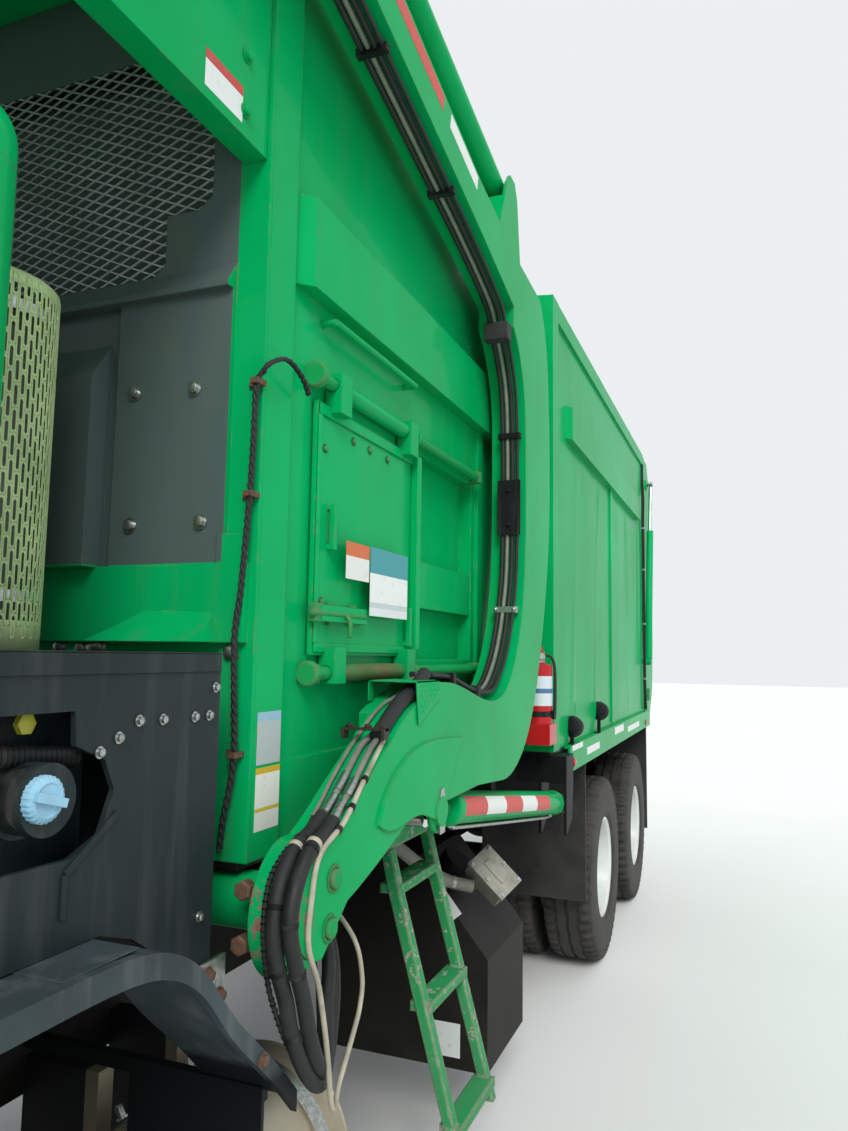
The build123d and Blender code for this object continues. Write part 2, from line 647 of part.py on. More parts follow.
def hopper_side():
    """The left hopper side: plate, corner post, rub rail, doorway and the ribbed panels behind it."""
    outer, inner = HOPPER_HALF, HOPPER_HALF - PLATE
    side = block((inner, outer), (HOPPER_FRONT, BODY_FRONT), (BODY_BOTTOM, BODY_TOP))
    side += block((outer, outer + 22), (HOPPER_FRONT, HOPPER_FRONT + 110), (BODY_BOTTOM, BODY_TOP))
    rub_y, rub_z, rub_depth = (890, 2960), (2645, 2870), 44
    side += plan_plate(
        [
            (outer - 1, rub_y[0]), (outer + rub_depth, rub_y[0] + rub_depth),
            (outer + rub_depth, rub_y[1]), (outer - 1, rub_y[1]),
        ],
        rub_z,
    )
    side += block((outer, outer + 14), (2290, 2350), (BODY_BOTTOM + 250, 2645))
    side += block((outer, outer + 10), (HOPPER_FRONT + 110, 2290), (BODY_BOTTOM, BODY_BOTTOM + 190))
    lug = [(1185, 1350), (1175, 1235), (1215, 1170), (1290, 1158), (1345, 1215), (1350, 1350)]
    side += side_plate(lug, (outer, outer + 10))
    return side


def side_doorway():
    """What is cut from the left hopper side behind the sliding door."""
    lap = SIDE_DOOR_LAP
    return block(
        (HOPPER_HALF - 50, HOPPER_HALF + 50),
        (SIDE_DOOR_Y[0] + lap, SIDE_DOOR_Y[1] - lap),
        (SIDE_DOOR_Z[0] + lap, SIDE_DOOR_Z[1] - lap),
    )


def hopper_sides():
    """Both hopper sides; the doorway is on the left only."""
    left = hopper_side() - side_doorway()
    grab_y, grab_z = (1045, 1575), 2600
    reach = HOPPER_HALF + 40
    left += rod_y(9, grab_y, reach, grab_z)
    for y in grab_y:
        left += rod_x(9, (HOPPER_HALF, reach), (y, grab_z))
    inner = HOPPER_HALF - PLATE
    y, z = (1700, 2250), (1760, 2420)
    left += block((RECESS_X - PLATE, inner), (y[0] - PLATE, y[1] + PLATE), (z[0] - PLATE, z[1] + PLATE))
    left -= block((RECESS_X, HOPPER_HALF + 1), y, z)
    left += block((RECESS_X, HOPPER_HALF - 4), y, (1925, 2075))
    return Compound(children=[*left.solids(), *mirrored(hopper_side()).solids()])


def screen_outline(y):
    """The hopper's screened window, seen from ahead, between two stations."""
    right, left = 970, -970
    foot, head = 2640, 3200
    return front_plate(
        [
            (left, foot), (815, foot), (845, foot + 28), (845, foot + 145), (935, foot + 145),
            (right, foot + 175), (right, head - 30), (right - 30, head), (left, head),
        ],
        y,
    )


def hopper_front():
    """The wall behind the cab: bolted plates, a lipped cross-member and a wide screened window."""
    y = (HOPPER_FRONT - PLATE, HOPPER_FRONT)
    half = HOPPER_HALF + 22
    wall = block((-half, half), y, (BODY_BOTTOM, BODY_TOP))
    wall -= screen_outline((y[0] - 20, y[1] + 20))
    front = y[0]
    baffle, baffle_x = y[1] + 120, (-1030, 1030)
    wall += block(baffle_x, (baffle - PLATE, baffle), (2330, 3440))
    wall += block(baffle_x, (front, baffle), (3440 - PLATE, 3440))
    sheet, post = 735, 1045
    for x in ((sheet, post), (-post, -sheet)):
        wall += block(x, (front - 14, front), (1962, 2580))
    wall += side_plate([(front, 2575), (front - 34, 2575), (front - 34, 2588), (front, 2640)], (-post, post))
    wall += side_plate([(front, 1962), (front - 60, 1962), (front - 60, 2405), (front, 2490)], (-650, 705))
    beam = half - 18
    wall += block((-beam, beam), (front - 18, front), (1795, 1962))
    for side in (-1, 1):
        for start, end, top in ((534, 686, 2003), (1030, beam, 2027)):
            x = sorted((side * start, side * end))
            wall += block(x, (front - 18, front - 8), (1950, top))
        x = sorted((side * 743, side * 1050))
        wedge = side_plate([(front - 10, 1870), (front - 85, 1795), (front - 10, 1795)], x)
        outline = [(side * 743, 1795), (side * 858, 1868), (side * 1030, 1856), (side * 1050, 1795)]
        wall += wedge & front_plate(outline, (front - 90, front - 5))
    return wall


def hopper_screen():
    """The screen in the window of the hopper's front wall."""
    return screen_outline((HOPPER_FRONT - PLATE + 2, HOPPER_FRONT - 4))


def canopy():
    """The cab guard ahead of the hopper: two side sheets with a flanged foot, and a sloped top."""
    front = HOPPER_FRONT - PLATE
    half = HOPPER_HALF + 12
    top = [(CANOPY_FRONT, 3290), (front, 3440)]
    side = side_plate(
        [(CANOPY_FRONT, CANOPY_BOTTOM), (front, CANOPY_BOTTOM), top[1], top[0]], (half - PLATE, half)
    )
    side += block((half - 60, half), (CANOPY_FRONT, front), (CANOPY_BOTTOM - 12, CANOPY_BOTTOM))
    roof = side_plate(
        [top[0], top[1], (front, top[1][1] - PLATE), (CANOPY_FRONT, top[0][1] - PLATE)],
        (PLATE - half, half - PLATE),
    )
    slope = (top[1][1] - top[0][1]) / (front - CANOPY_FRONT)
    lip = Part()
    for y, width, depth in ((CANOPY_FRONT, PLATE, 110), (-100, 60, 90), (320, 60, 90)):
        z = top[0][1] + (y - CANOPY_FRONT) * slope
        z_rear = z + width * slope
        lip += side_plate(
            [(y, z - depth), (y + width, z - depth), (y + width, z_rear - PLATE / 2), (y, z - PLATE / 2)],
            (PLATE - half, half - PLATE),
        )
    return side + mirrored(side) + roof + lip


def body_sides():
    """The rear body's sides: step wall, plate, posts and the box rub rail."""
    outer, inner = BODY_HALF, BODY_HALF - PLATE
    side = block((inner, outer), (BODY_FRONT, BODY_REAR), (BODY_BOTTOM, BODY_TOP))
    side += block((HOPPER_HALF - PLATE, inner), (BODY_FRONT, BODY_FRONT + PLATE), (BODY_BOTTOM, BODY_TOP))
    front_post, rear_post = BODY_FRONT + 120, BODY_REAR - 130
    posts = ((BODY_FRONT, front_post, 16), (rear_post, BODY_REAR, 8))
    for start, end, reach in posts:
        side += block((outer, outer + reach), (start, end), (BODY_BOTTOM, BODY_TOP))
    rail_y = (BODY_FRONT + 330, BODY_REAR - 480)
    side += plan_plate(
        [
            (outer - 1, rail_y[0]), (outer + 32, rail_y[0] + 50), (outer + 32, rail_y[1] - 50),
            (outer - 1, rail_y[1]),
        ],
        (2880, 3050),
    )
    side += block((outer, outer + 14), (front_post, rear_post), (BODY_TOP - 90, BODY_TOP))
    side += block((outer, outer + 12), (4750, 4830), (BODY_BOTTOM + 20, 2880))
    side += rod_x(PIN_RADIUS - 7, (outer, GATE_CYLINDER_X + 24), GATE_BASE)
    return both(side)


def body_roof():
    """The crowned roof sheet over the packed load, with hinge lugs at its rear edge."""
    crown = BODY_HALF - 320
    roof = front_plate(
        [(-BODY_HALF, BODY_TOP), (BODY_HALF, BODY_TOP), (crown, BODY_TOP + 30), (-crown, BODY_TOP + 30)],
        (BODY_FRONT, BODY_REAR),
    )
    for y in (3900, 4800, 5700):
        roof += block((20 - crown, crown - 20), (y, y + 70), (BODY_TOP + 30, BODY_TOP + 55))
    y, z = TAILGATE_HINGE
    for x in (-800, 800):
        lug = side_plate(
            [
                (BODY_REAR - 120, BODY_TOP + 30), (BODY_REAR, BODY_TOP + 5), (y + 28, z - 20), (y + 28, z + 28),
                (y - 60, z + 34),
            ],
            (x - 25, x + 25),
        )
        roof += lug
        roof += rod_x(18, (x - 70, x + 70), TAILGATE_HINGE)
    return roof


def body_floor():
    """The floor with its cross-members on two long sills over the rails, and the cylinder brackets."""
    floor = block((-HOPPER_HALF, HOPPER_HALF), (HOPPER_FRONT - PLATE, BODY_FRONT), (SUBFRAME_TOP, BODY_BOTTOM))
    floor += block((-BODY_HALF, BODY_HALF), (BODY_FRONT, BODY_REAR), (SUBFRAME_TOP, BODY_BOTTOM))
    sill_front = HOPPER_FRONT + 120
    for side in (-1, 1):
        x = sorted((side * (RAIL_HALF - RAIL_FLANGE), side * RAIL_HALF))
        floor += block(x, (sill_front, RAIL_REAR), (RAIL_TOP, SUBFRAME_TOP))
    members = [950, 1500, 2050, 2600] + [BODY_FRONT + d for d in (300, 844, 1600, 2250, 2900, 3460)]
    for y in members:
        reach = HOPPER_HALF - 20 if y < BODY_FRONT else BODY_HALF - 40
        floor += block((-reach, reach), (y, y + 60), (1220, SUBFRAME_TOP))
    y, z = LIFT_BASE
    for side in (-1, 1):
        plates = ((ARM_INNER + 3, ARM_INNER + 17), (ARM_OUTER - 17, ARM_OUTER - 3))
        for low, high in plates:
            ear = side_plate([(y - 60, 985), (y + 60, 1040), (y + 90, 1210), (y - 60, 1210)], (low, high))
            floor += ear if side > 0 else mirrored(ear)
        root = block((HOPPER_HALF - 40, ARM_OUTER - 3), (y - 60, y + 90), (1210, 1330))
        root += rod_x(PIN_RADIUS, (ARM_INNER + 17, ARM_OUTER - 17), LIFT_BASE)
        floor += root if side > 0 else mirrored(root)
    pivot_y, pivot_z = ARM_PIVOT
    hanger = side_plate(
        [
            (pivot_y - 110, pivot_z - 40), (pivot_y - 70, pivot_z - 110), (pivot_y + 120, RAIL_TOP),
            (sill_front + 100, RAIL_TOP), (sill_front + 100, SUBFRAME_TOP), (pivot_y - 80, SUBFRAME_TOP),
        ],
        (RAIL_HALF, RAIL_HALF + 40),
    )
    hanger -= rod_x(TORQUE_TUBE_RADIUS + 1, (RAIL_HALF - 5, RAIL_HALF + 45), ARM_PIVOT)
    return floor + hanger + mirrored(hanger)


def door_rails():
    """Two round rails that carry the side door, on end blocks, and the latch keeper below."""
    rails = []
    y0, y1 = DOOR_RAIL_Y
    for z in (DOOR_RAIL_UPPER, DOOR_RAIL_LOWER):
        rail = rod_y(DOOR_RAIL_RADIUS, (y0, y1), DOOR_RAIL_X, z)
        for y in (y0, y1 - 24):
            rail += block((HOPPER_HALF, DOOR_RAIL_X + 20), (y, y + 24), (z - 22, z + 22))
        rails += rail.solids()
    return Compound(children=rails)


def side_door():
    """The sliding door on the left of the hopper: plate, hanger hooks, handles and a latch."""
    x = (HOPPER_HALF + 6, HOPPER_HALF + 18)
    door = block(x, SIDE_DOOR_Y, SIDE_DOOR_Z)
    y0, y1 = SIDE_DOOR_Y
    for y in (y0 + 60, y1 - 120):
        hook = block((x[0], DOOR_RAIL_X + 26), (y, y + 60), (SIDE_DOOR_Z[1] - 20, DOOR_RAIL_UPPER + 30))
        foot = block((x[0], DOOR_RAIL_X + 26), (y, y + 60), (DOOR_RAIL_LOWER - 26, SIDE_DOOR_Z[0] + 20))
        door += hook + foot
    for z in (DOOR_RAIL_UPPER, DOOR_RAIL_LOWER):
        door -= rod_y(DOOR_RAIL_RADIUS + 1, (y0 - 10, y1 + 10), DOOR_RAIL_X, z)
    grip = HOPPER_HALF + 40
    for y, z in ((y0 + 70, 2030), (y1 - 70, 1800)):
        for foot in (z, z + 100):
            door += block((x[1], grip), (y - 8, y + 8), (foot, foot + 14))
        door += block((grip - 14, grip), (y - 8, y + 8), (z, z + 114))
    door += block((x[1], x[1] + 22), (y0 + 10, y0 + 260), (1852, 1892))
    return door


def rear_fenders():
    """The long shelves over the tandem wheels, each a folded sheet with a hanging skirt."""
    y = (SHELF_FRONT, BODY_REAR)
    shelf = block((BODY_HALF, SHELF_OUTER), y, (BODY_BOTTOM - PLATE, BODY_BOTTOM))
    skirt = block((SHELF_OUTER - PLATE, SHELF_OUTER), y, (BODY_BOTTOM - 124, BODY_BOTTOM - PLATE))
    return both(shelf + skirt)


def mudflaps():
    """Rubber flaps ahead of and behind the tandem wheels."""
    ahead = REAR_AXLE_1 - 640
    behind = REAR_AXLE_2 + 680
    thick = 14
    x, top = (640, BODY_HALF), SUBFRAME_TOP - 30
    flaps = block(x, (ahead, ahead + thick), (480, top)) + block(x, (behind, behind + thick), (380, top))
    return both(flaps)


def ladder():
    """The fixed boarding ladder below the side door, leaning out towards its foot."""
    foot_x, foot_z = 1288, 400
    rail = Part()
    width = 34
    for y in (1590, 1900):
        points = [
            (1046, 1200), (1078, 1200), (1106, 1095), (foot_x + 16, foot_z), (foot_x - 16, foot_z), (1072, 1085),
        ]
        rail += front_plate(points, (y, y + width))
    for x, z in ((1088, 1072), (1190, 756), (1284, 440)):
        rail += block((x - 46, x + 20), (1600, 1920), (z, z + 28))
    rail += block((1046, 1074), (1590, 1934), (1200, SUBFRAME_TOP))
    return rail


def extinguisher():
    """A red bottle in its holder, on the step wall behind the lift arm."""
    x, y = 1190, 2966
    bottle = rod_z(58, (1480, 1740), x, y)
    bottle += rod_z(24, (1740, 1800), x, y)
    bottle += block((x - 14, x + 14), (y - 70, y + 10), (1800, 1822))
    holder = block((x - 62, x + 62), (y - 60, y + 70), (1390, 1480))
    holder += block((x - 30, x + 30), (y + 70, BODY_FRONT), (1390, 1700))
    return holder, bottle


def lift_arms():
    """Both lift arms with the torque tube between their pivots, slotted for the lift cylinders."""
    y, z = FORK_PIVOT
    foot, throat = (871, 1265), (800, 1402)
    knee, hook, tip = (1395, 1700), (2142, 2985), (y + 10, z - 85)
    crest, heel, sole = (2546, 3254), (2035, 1361), (1208, 1373)
    runs = [
        (False, [foot, (765, 1182)]),
        (True, [(765, 1182), (715, 1195), (672, 1235), (668, 1300), (713, 1376), throat]),
        (True, [throat, (880, 1445), (945, 1487), (1050, 1550), (1165, 1620), (1300, 1668), knee]),
        (True, [
            knee, (1560, 1690), (1752, 1650), (1920, 1630), (2060, 1660), (2200, 1790), (2290, 2000),
            (2320, 2200), (2322, 2500), (2303, 2755), (2235, 2900), hook,
        ]),
        (False, [hook, (2145, 3065), (1779, 3150), tip]),
        (True, [tip, (y - 62, z - 60), (y - 88, z), (y - 62, z + 62), (y + 15, z + 80)]),
        (False, [
            (y + 15, z + 80), (1201, 3440), (1738, 3328), (1960, 3300), (2050, 3500), (2090, 3548),
            (2150, 3548), (2185, 3500), (2230, 3266), crest,
        ]),
        (True, [
            crest, (2640, 3140), (2700, 2900), (2722, 2600), (2687, 2180), (2579, 1842), (2480, 1640),
            (2350, 1480), (2200, 1390), heel,
        ]),
        (False, [heel, (1758, 1381), sole]),
        (True, [sole, (1135, 1347), (989, 1298), foot]),
    ]
    arm = side_curve(runs, (ARM_INNER, ARM_OUTER))
    arm -= block((ARM_INNER - 5, ARM_END_INNER), (600, 1185), (1100, 1700))
    arm += rod_x(ARM_DISC, (ARM_END_INNER, ARM_END_INNER + 35), ARM_PIVOT)
    lug = rod_x(58, (ARM_INNER, ARM_OUTER), LIFT_EYE)
    eye_y, eye_z = LIFT_EYE
    slot = side_plate(
        [
            (eye_y - 180, 1150), (eye_y - 180, eye_z + 90), (eye_y + 10, eye_z + 108), (eye_y + 120, eye_z + 126),
            (2000, 1496), (2560, 1516), (2560, 1150),
        ],
        (ARM_INNER + ARM_PLATE, ARM_OUTER - ARM_PLATE),
    )
    ear_slot = block(
        (ARM_INNER + ARM_PLATE, ARM_OUTER - ARM_PLATE), (2010, 2330), (FORK_BASE[1] - 62, FORK_BASE[1] + 90)
    )
    ear_slot += side_plate(
        [(1500, 3560), (2020, 3445), (2020, 3640), (1500, 3700)], (ARM_INNER + ARM_PLATE, ARM_OUTER - ARM_PLATE)
    )
    arm = arm + lug - slot - ear_slot
    nose, top, pad = (1010, 1392), (1583, 1542), (1450, 1385)
    doubler = [
        (True, [nose, (1070, 1467), (1189, 1530), (1362, 1552), top]),
        (False, [top, pad]),
        (True, [pad, (1377, 1345), (1296, 1368), (1208, 1375), (1090, 1368), nose]),
    ]
    arm += side_curve(doubler, (ARM_OUTER - 1, ARM_OUTER + DOUBLER))
    arm += rod_x(40, (ARM_OUTER, ARM_OUTER + DOUBLER + 4), LIFT_EYE)
    arm += rod_x(PIN_RADIUS - 5, (ARM_INNER + ARM_PLATE, ARM_OUTER - ARM_PLATE), FORK_BASE)
    arm -= rod_x(PIN_RADIUS + 10 + PIN_CLEARANCE, (ARM_INNER - 5, ARM_OUTER + 5), FORK_PIVOT)
    tube = rod_x(TORQUE_TUBE_RADIUS, (-ARM_END_INNER, ARM_END_INNER), ARM_PIVOT)
    return arm + mirrored(arm) + tube


def lift_cylinders():
    """The lift cylinders' barrels and rods, lying rearward from the arms to the body's brackets."""
    barrel_end = 1500
    barrel = rod_between(LIFT_BARREL_RADIUS, LIFT_BASE, along(LIFT_BASE, LIFT_EYE, barrel_end), CYLINDER_X, 55)
    barrel += rod_x(44, (CYLINDER_X - 36, CYLINDER_X + 36), LIFT_BASE)
    neck = rod_between(38, LIFT_BASE, along(LIFT_BASE, LIFT_EYE, 60), CYLINDER_X, 30)
    barrel += neck - rod_x(44, (CYLINDER_X - 36, CYLINDER_X + 36), LIFT_BASE)
    barrel -= rod_x(PIN_RADIUS + PIN_CLEARANCE, (CYLINDER_X - 60, CYLINDER_X + 60), LIFT_BASE)
    rod_start = along(LIFT_BASE, LIFT_EYE, barrel_end - 1250)
    bore = rod_between(LIFT_ROD_RADIUS + PIN_CLEARANCE, rod_start, LIFT_EYE, CYLINDER_X, -20)
    barrel -= bore
    rod = rod_between(LIFT_ROD_RADIUS, rod_start, LIFT_EYE, CYLINDER_X, 90, 40)
    rod += rod_x(46, (CYLINDER_X - 32, CYLINDER_X + 32), LIFT_EYE)
    rod -= rod_x(PIN_RADIUS + 1, (CYLINDER_X - 60, CYLINDER_X + 60), LIFT_EYE)
    return both(barrel), both(rod)


def fork_cylinders():
    """The long fork cylinders on top of the arms."""
    barrel_end = 1750
    start, end = FORK_BASE, FORK_EYE
    barrel = rod_between(FORK_BARREL_RADIUS, start, along(start, end, barrel_end), CYLINDER_X, 30)
    barrel += rod_x(38, (CYLINDER_X - 32, CYLINDER_X + 32), start)
    barrel -= rod_x(PIN_RADIUS - 5 + PIN_CLEARANCE, (CYLINDER_X - 60, CYLINDER_X + 60), start)
    barrel -= rod_between(FORK_ROD_RADIUS + PIN_CLEARANCE, along(start, end, 500), along(start, end, 2000), CYLINDER_X)
    rod = rod_between(FORK_ROD_RADIUS, along(start, end, 560), end, CYLINDER_X, 0, 30)
    rod += rod_x(36, (CYLINDER_X - 24, CYLINDER_X + 24), end)
    rod -= rod_x(19, (CYLINDER_X - 60, CYLINDER_X + 60), end)
    return both(barrel), both(rod)


def forks():
    """The fork shaft across the arms' ends, its crank ears and the two tapered tines, folded back."""
    y, z = FORK_PIVOT
    shaft = rod_x(FORK_TUBE_RADIUS, (-ARM_INNER + RUNNING_GAP, ARM_INNER - RUNNING_GAP), FORK_PIVOT)
    stub = rod_x(PIN_RADIUS + 10, (ARM_INNER - RUNNING_GAP, ARM_OUTER + 5), FORK_PIVOT)
    eye_y, eye_z = FORK_EYE
    run = math.dist(FORK_PIVOT, FORK_EYE)
    unit = ((eye_y - y) / run, (eye_z - z) / run)
    side = (-unit[1], unit[0])
    points = [
        (y + side[0] * 60 - unit[0] * 50, z + side[1] * 60 - unit[1] * 50),
        (eye_y + side[0] * 34 + unit[0] * 34, eye_z + side[1] * 34 + unit[1] * 34),
        (eye_y - side[0] * 34 + unit[0] * 34, eye_z - side[1] * 34 + unit[1] * 34),
        (y - side[0] * 60 - unit[0] * 50, z - side[1] * 60 - unit[1] * 50),
    ]
    ear_x = (ARM_INNER - 30, ARM_INNER - 8)
    crank = side_plate(points, ear_x)
    pin = rod_x(16, (ear_x[1], CYLINDER_X - 28), FORK_EYE)
    slope = math.radians(TINE_DROP_DEG)
    back = (math.cos(slope), -math.sin(slope))
    down = (-math.sin(slope), -math.cos(slope))
    def at(length, depth):
        return (y + back[0] * length + down[0] * depth, z + back[1] * length + down[1] * depth)
    tine = side_plate(
        [at(-90, -60), at(40, -60), at(140, 30), at(TINE_LENGTH, 95), at(TINE_LENGTH, 130), at(60, 165), at(-70, 120)],
        (TINE_X - TINE_THICK / 2, TINE_X + TINE_THICK / 2),
    )
    half = stub + crank + pin + tine
    return shaft + half + mirrored(half)


def tailgate():
    """The domed tailgate: a hollow door with side lugs for its cylinders and hinge ears on top."""
    front, rear = TAILGATE_FRONT, TAILGATE_REAR
    outline = [
        (front, 1300), (front, BODY_TOP), (front + 240, BODY_TOP), (rear - 60, 3180), (rear, 2700),
        (rear, 1900), (rear - 90, 1500), (front + 260, 1300),
    ]
    wall = TAILGATE_WALL
    skin = [
        (front, 1300), (front, BODY_TOP), (front + 238, BODY_TOP), (rear - 60 - RIB, 3172),
        (rear - RIB, 2695), (rear - RIB, 1905), (rear - 90 - RIB, 1510), (front + 250, 1300),
    ]
    shell = side_plate(skin, (-BODY_HALF, BODY_HALF))
    for x in (-BODY_HALF, -BODY_HALF / 3 - RIB_WIDTH / 2, BODY_HALF / 3 - RIB_WIDTH / 2, BODY_HALF - RIB_WIDTH):
        shell += side_plate(outline, (x, x + RIB_WIDTH))
    for z in (1960, 2350, 2640):
        shell += block((-BODY_HALF, BODY_HALF), (rear - RIB - 10, rear), (z, z + RIB_WIDTH))
    hollow = [
        (front - 10, 1300 + wall), (front - 10, BODY_TOP - wall), (front + 225, BODY_TOP - wall),
        (rear - 60 - RIB - wall, 3155), (rear - RIB - wall, 2685), (rear - RIB - wall, 1915),
        (rear - 90 - RIB - wall, 1530), (front + 235, 1300 + wall),
    ]
    shell -= side_plate(hollow, (wall - BODY_HALF, BODY_HALF - wall))
    y, z = TAILGATE_HINGE
    for x in (-740, -860, 740, 860):
        ear = side_plate(
            [(y - 30, BODY_TOP), (y + 120, BODY_TOP), (y + 30, z + 30), (y - 30, z + 30)], (x - 20, x + 20)
        )
        shell += ear
    shell -= rod_x(18 + PIN_CLEARANCE, (-900, 900), TAILGATE_HINGE)
    boss = rod_x(45, (BODY_HALF, BODY_HALF + 10), GATE_EYE)
    pin = rod_x(16, (BODY_HALF + 10, GATE_CYLINDER_X - 18), GATE_EYE)
    return shell + boss + pin + mirrored(boss + pin)


def gate_cylinders():
    """The tailgate cylinders on the rear posts."""
    barrel_end = 1150
    start, end = GATE_BASE, GATE_EYE
    x = GATE_CYLINDER_X
    barrel = rod_between(GATE_BARREL_RADIUS, start, along(start, end, barrel_end), x, 22)
    barrel += rod_x(30, (x - 18, x + 18), start)
    barrel -= rod_x(PIN_RADIUS - 7 + PIN_CLEARANCE, (x - 60, x + 60), start)
    barrel -= rod_between(GATE_ROD_RADIUS + PIN_CLEARANCE, along(start, end, 500), along(start, end, 1300), x)
    rod = rod_between(GATE_ROD_RADIUS, along(start, end, 540), end, x, 0, 24)
    rod += rod_x(30, (x - 14, x + 14), end)
    rod -= rod_x(19, (x - 60, x + 60), end)
    return both(barrel), both(rod)


def packer():
    """The packing blade across the hopper, parked against its front wall, with its follower shelf."""
    half = RECESS_X - PLATE - 8
    back = HOPPER_FRONT + 40
    blade = block((-half, half), (back + 200, back + 240), (BODY_BOTTOM + 8, 2300))
    blade += block((-half, half), (back, back + 200), (2260, 2300))
    for x in (-700, 0, 700):
        blade += block((x - 20, x + 20), (back, back + 200), (BODY_BOTTOM + 8, 2260))
    return blade


def main():
    os.makedirs("parts", exist_ok=True)
    save("frame_rails", frame_rails())
    save("axles", axles())
    save("engine_block", engine_block())
    save("bumpers", bumpers())
    save("lamps", Compound(children=lamps()))
    for name, shape in cab_pieces().items():
        save(name, shape)
    save("cab_interior", cab_interior())
    save("front_fenders", front_fenders())
    save("side_panels", side_panels())
    stack, guard = exhaust()
    save("exhaust_stack", stack)
    save("exhaust_guard", guard)
    heads, arms = mirrors()
    save("mirrors", both(heads.solids()[0] + arms))
    fuel, hydraulic, right = tanks()
    save("fuel_tank", fuel)
    save("hydraulic_tank", hydraulic)
    save("battery_box", right)
    save("hopper_sides", hopper_sides())
    save("hopper_front", hopper_front())
    save("hopper_screen", hopper_screen())
    save("canopy", canopy())
    save("body_sides", body_sides())
    save("body_roof", body_roof())
    save("body_floor", body_floor())
    save("door_rails", door_rails())
    save("side_door", side_door())
    save("rear_fenders", rear_fenders())
    save("mudflaps", mudflaps())
    save("ladder", ladder())
    holder, bottle = extinguisher()
    save("extinguisher", holder + bottle)
    save("packer", packer())

    left_knuckle = knuckle()
    left_tyre = tyre(FRONT_WHEEL_X, FRONT_TYRE_WIDTH, 0)
    left_rim = front_rim()
    save("knuckle_left", left_knuckle)
    save("knuckle_right", mirrored(left_knuckle))
    save("front_tyre_left", left_tyre)
    save("front_tyre_right", mirrored(left_tyre))
    save("front_rim_left", left_rim)
    save("front_rim_right", mirrored(left_rim))
    for number, y in ((1, REAR_AXLE_1), (2, REAR_AXLE_2)):
        tyres = Compound(
            children=[
                s
                for side in (-1, 1)
                for s in tyre(DUAL_MID_X + side * DUAL_SPACING / 2, REAR_TYRE_WIDTH, y).solids()
            ]
        )
        rims = rear_rims(y)
        save(f"rear_tyres_{number}_left", tyres)
        save(f"rear_tyres_{number}_right", mirrored(tyres))
        save(f"rear_rims_{number}_left", rims)
        save(f"rear_rims_{number}_right", mirrored(rims))

    save("lift_arms", lift_arms())
    barrels, rods = lift_cylinders()
    save("lift_barrels", barrels)
    save("lift_rods", rods)
    save("forks", forks())
    barrels, rods = fork_cylinders()
    save("fork_barrels", barrels)
    save("fork_rods", rods)
    save("tailgate", tailgate())
    barrels, rods = gate_cylinders()
    save("gate_barrels", barrels)
    save("gate_rods", rods)


if __name__ == "__main__":
    main()
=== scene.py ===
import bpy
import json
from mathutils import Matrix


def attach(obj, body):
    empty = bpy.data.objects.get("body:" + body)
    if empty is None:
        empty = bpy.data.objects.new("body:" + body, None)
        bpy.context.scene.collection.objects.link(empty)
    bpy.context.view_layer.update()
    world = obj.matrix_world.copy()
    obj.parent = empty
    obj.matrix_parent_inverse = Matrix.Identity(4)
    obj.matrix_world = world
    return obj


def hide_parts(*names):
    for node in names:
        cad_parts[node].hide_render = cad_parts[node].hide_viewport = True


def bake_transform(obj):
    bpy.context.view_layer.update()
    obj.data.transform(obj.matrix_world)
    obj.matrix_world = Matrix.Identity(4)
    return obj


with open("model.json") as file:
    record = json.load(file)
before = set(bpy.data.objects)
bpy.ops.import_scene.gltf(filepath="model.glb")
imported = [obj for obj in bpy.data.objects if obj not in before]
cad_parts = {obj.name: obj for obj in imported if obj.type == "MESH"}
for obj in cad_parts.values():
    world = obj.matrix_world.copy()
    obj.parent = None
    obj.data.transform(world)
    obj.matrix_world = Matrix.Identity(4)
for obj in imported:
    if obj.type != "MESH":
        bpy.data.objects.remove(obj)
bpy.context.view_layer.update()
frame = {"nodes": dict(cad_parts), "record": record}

import json
import math
import bpy
import numpy as np
from mathutils import Matrix

# Stations along the truck are counted from the front axle, in metres, and shifted once by this value
frontAxleY = -2.845

print("stage 1: camera, floor and light")

# The camera looks down the left side from beside the cab, a little to the rear of the front axle
viewOfTruck = {
    "place": (2.10, -3.605, 1.775),
    "right": (0.9304, 0.3662, 0.0146),
    "up": (0.0253, -0.1039, 0.9943),
    "back": (0.3656, -0.9247, -0.1059),
    "lensMm": 26.77,
    "longSideMm": 36.0,
}


def makeCamera(view):
    data = bpy.data.cameras.new("camera")
    data.lens = view["lensMm"]
    data.sensor_width = view["longSideMm"]
    camera = bpy.data.objects.new("camera", data)
    bpy.context.scene.collection.objects.link(camera)
    turn = Matrix((view["right"], view["up"], view["back"])).transposed().to_4x4()
    camera.matrix_world = Matrix.Translation(view["place"]) @ turn
    bpy.context.scene.camera = camera


def linearColour(hexText):
    # sRGB hex to linear: the standard curve, one channel at a time
    channels = [int(hexText[i:i + 2], 16) / 255 for i in (1, 3, 5)]
    return tuple(c / 12.92 if c <= 0.04045 else ((c + 0.055) / 1.055) ** 2.4 for c in channels) + (1.0,)


def addNode(tree, kind, inputs=None, **settings):
    # one node with its settings; an input is a plain value, a hex colour or another node's output
    node = tree.nodes.new(kind)
    for name, value in settings.items():
        setattr(node, name, value)
    for socket, value in (inputs or {}).items():
        if isinstance(value, bpy.types.NodeSocket):
            tree.links.new(value, node.inputs[socket])
        else:
            node.inputs[socket].default_value = linearColour(value) if isinstance(value, str) else value
    return node


def maths(tree, operation, first, second=0.5):
    return addNode(tree, "ShaderNodeMath", {0: first, 1: second}, operation=operation).outputs[0]


def times(tree, first, second):
    return maths(tree, "MULTIPLY", first, second)


def larger(tree, first, second):
    return maths(tree, "MAXIMUM", first, second)


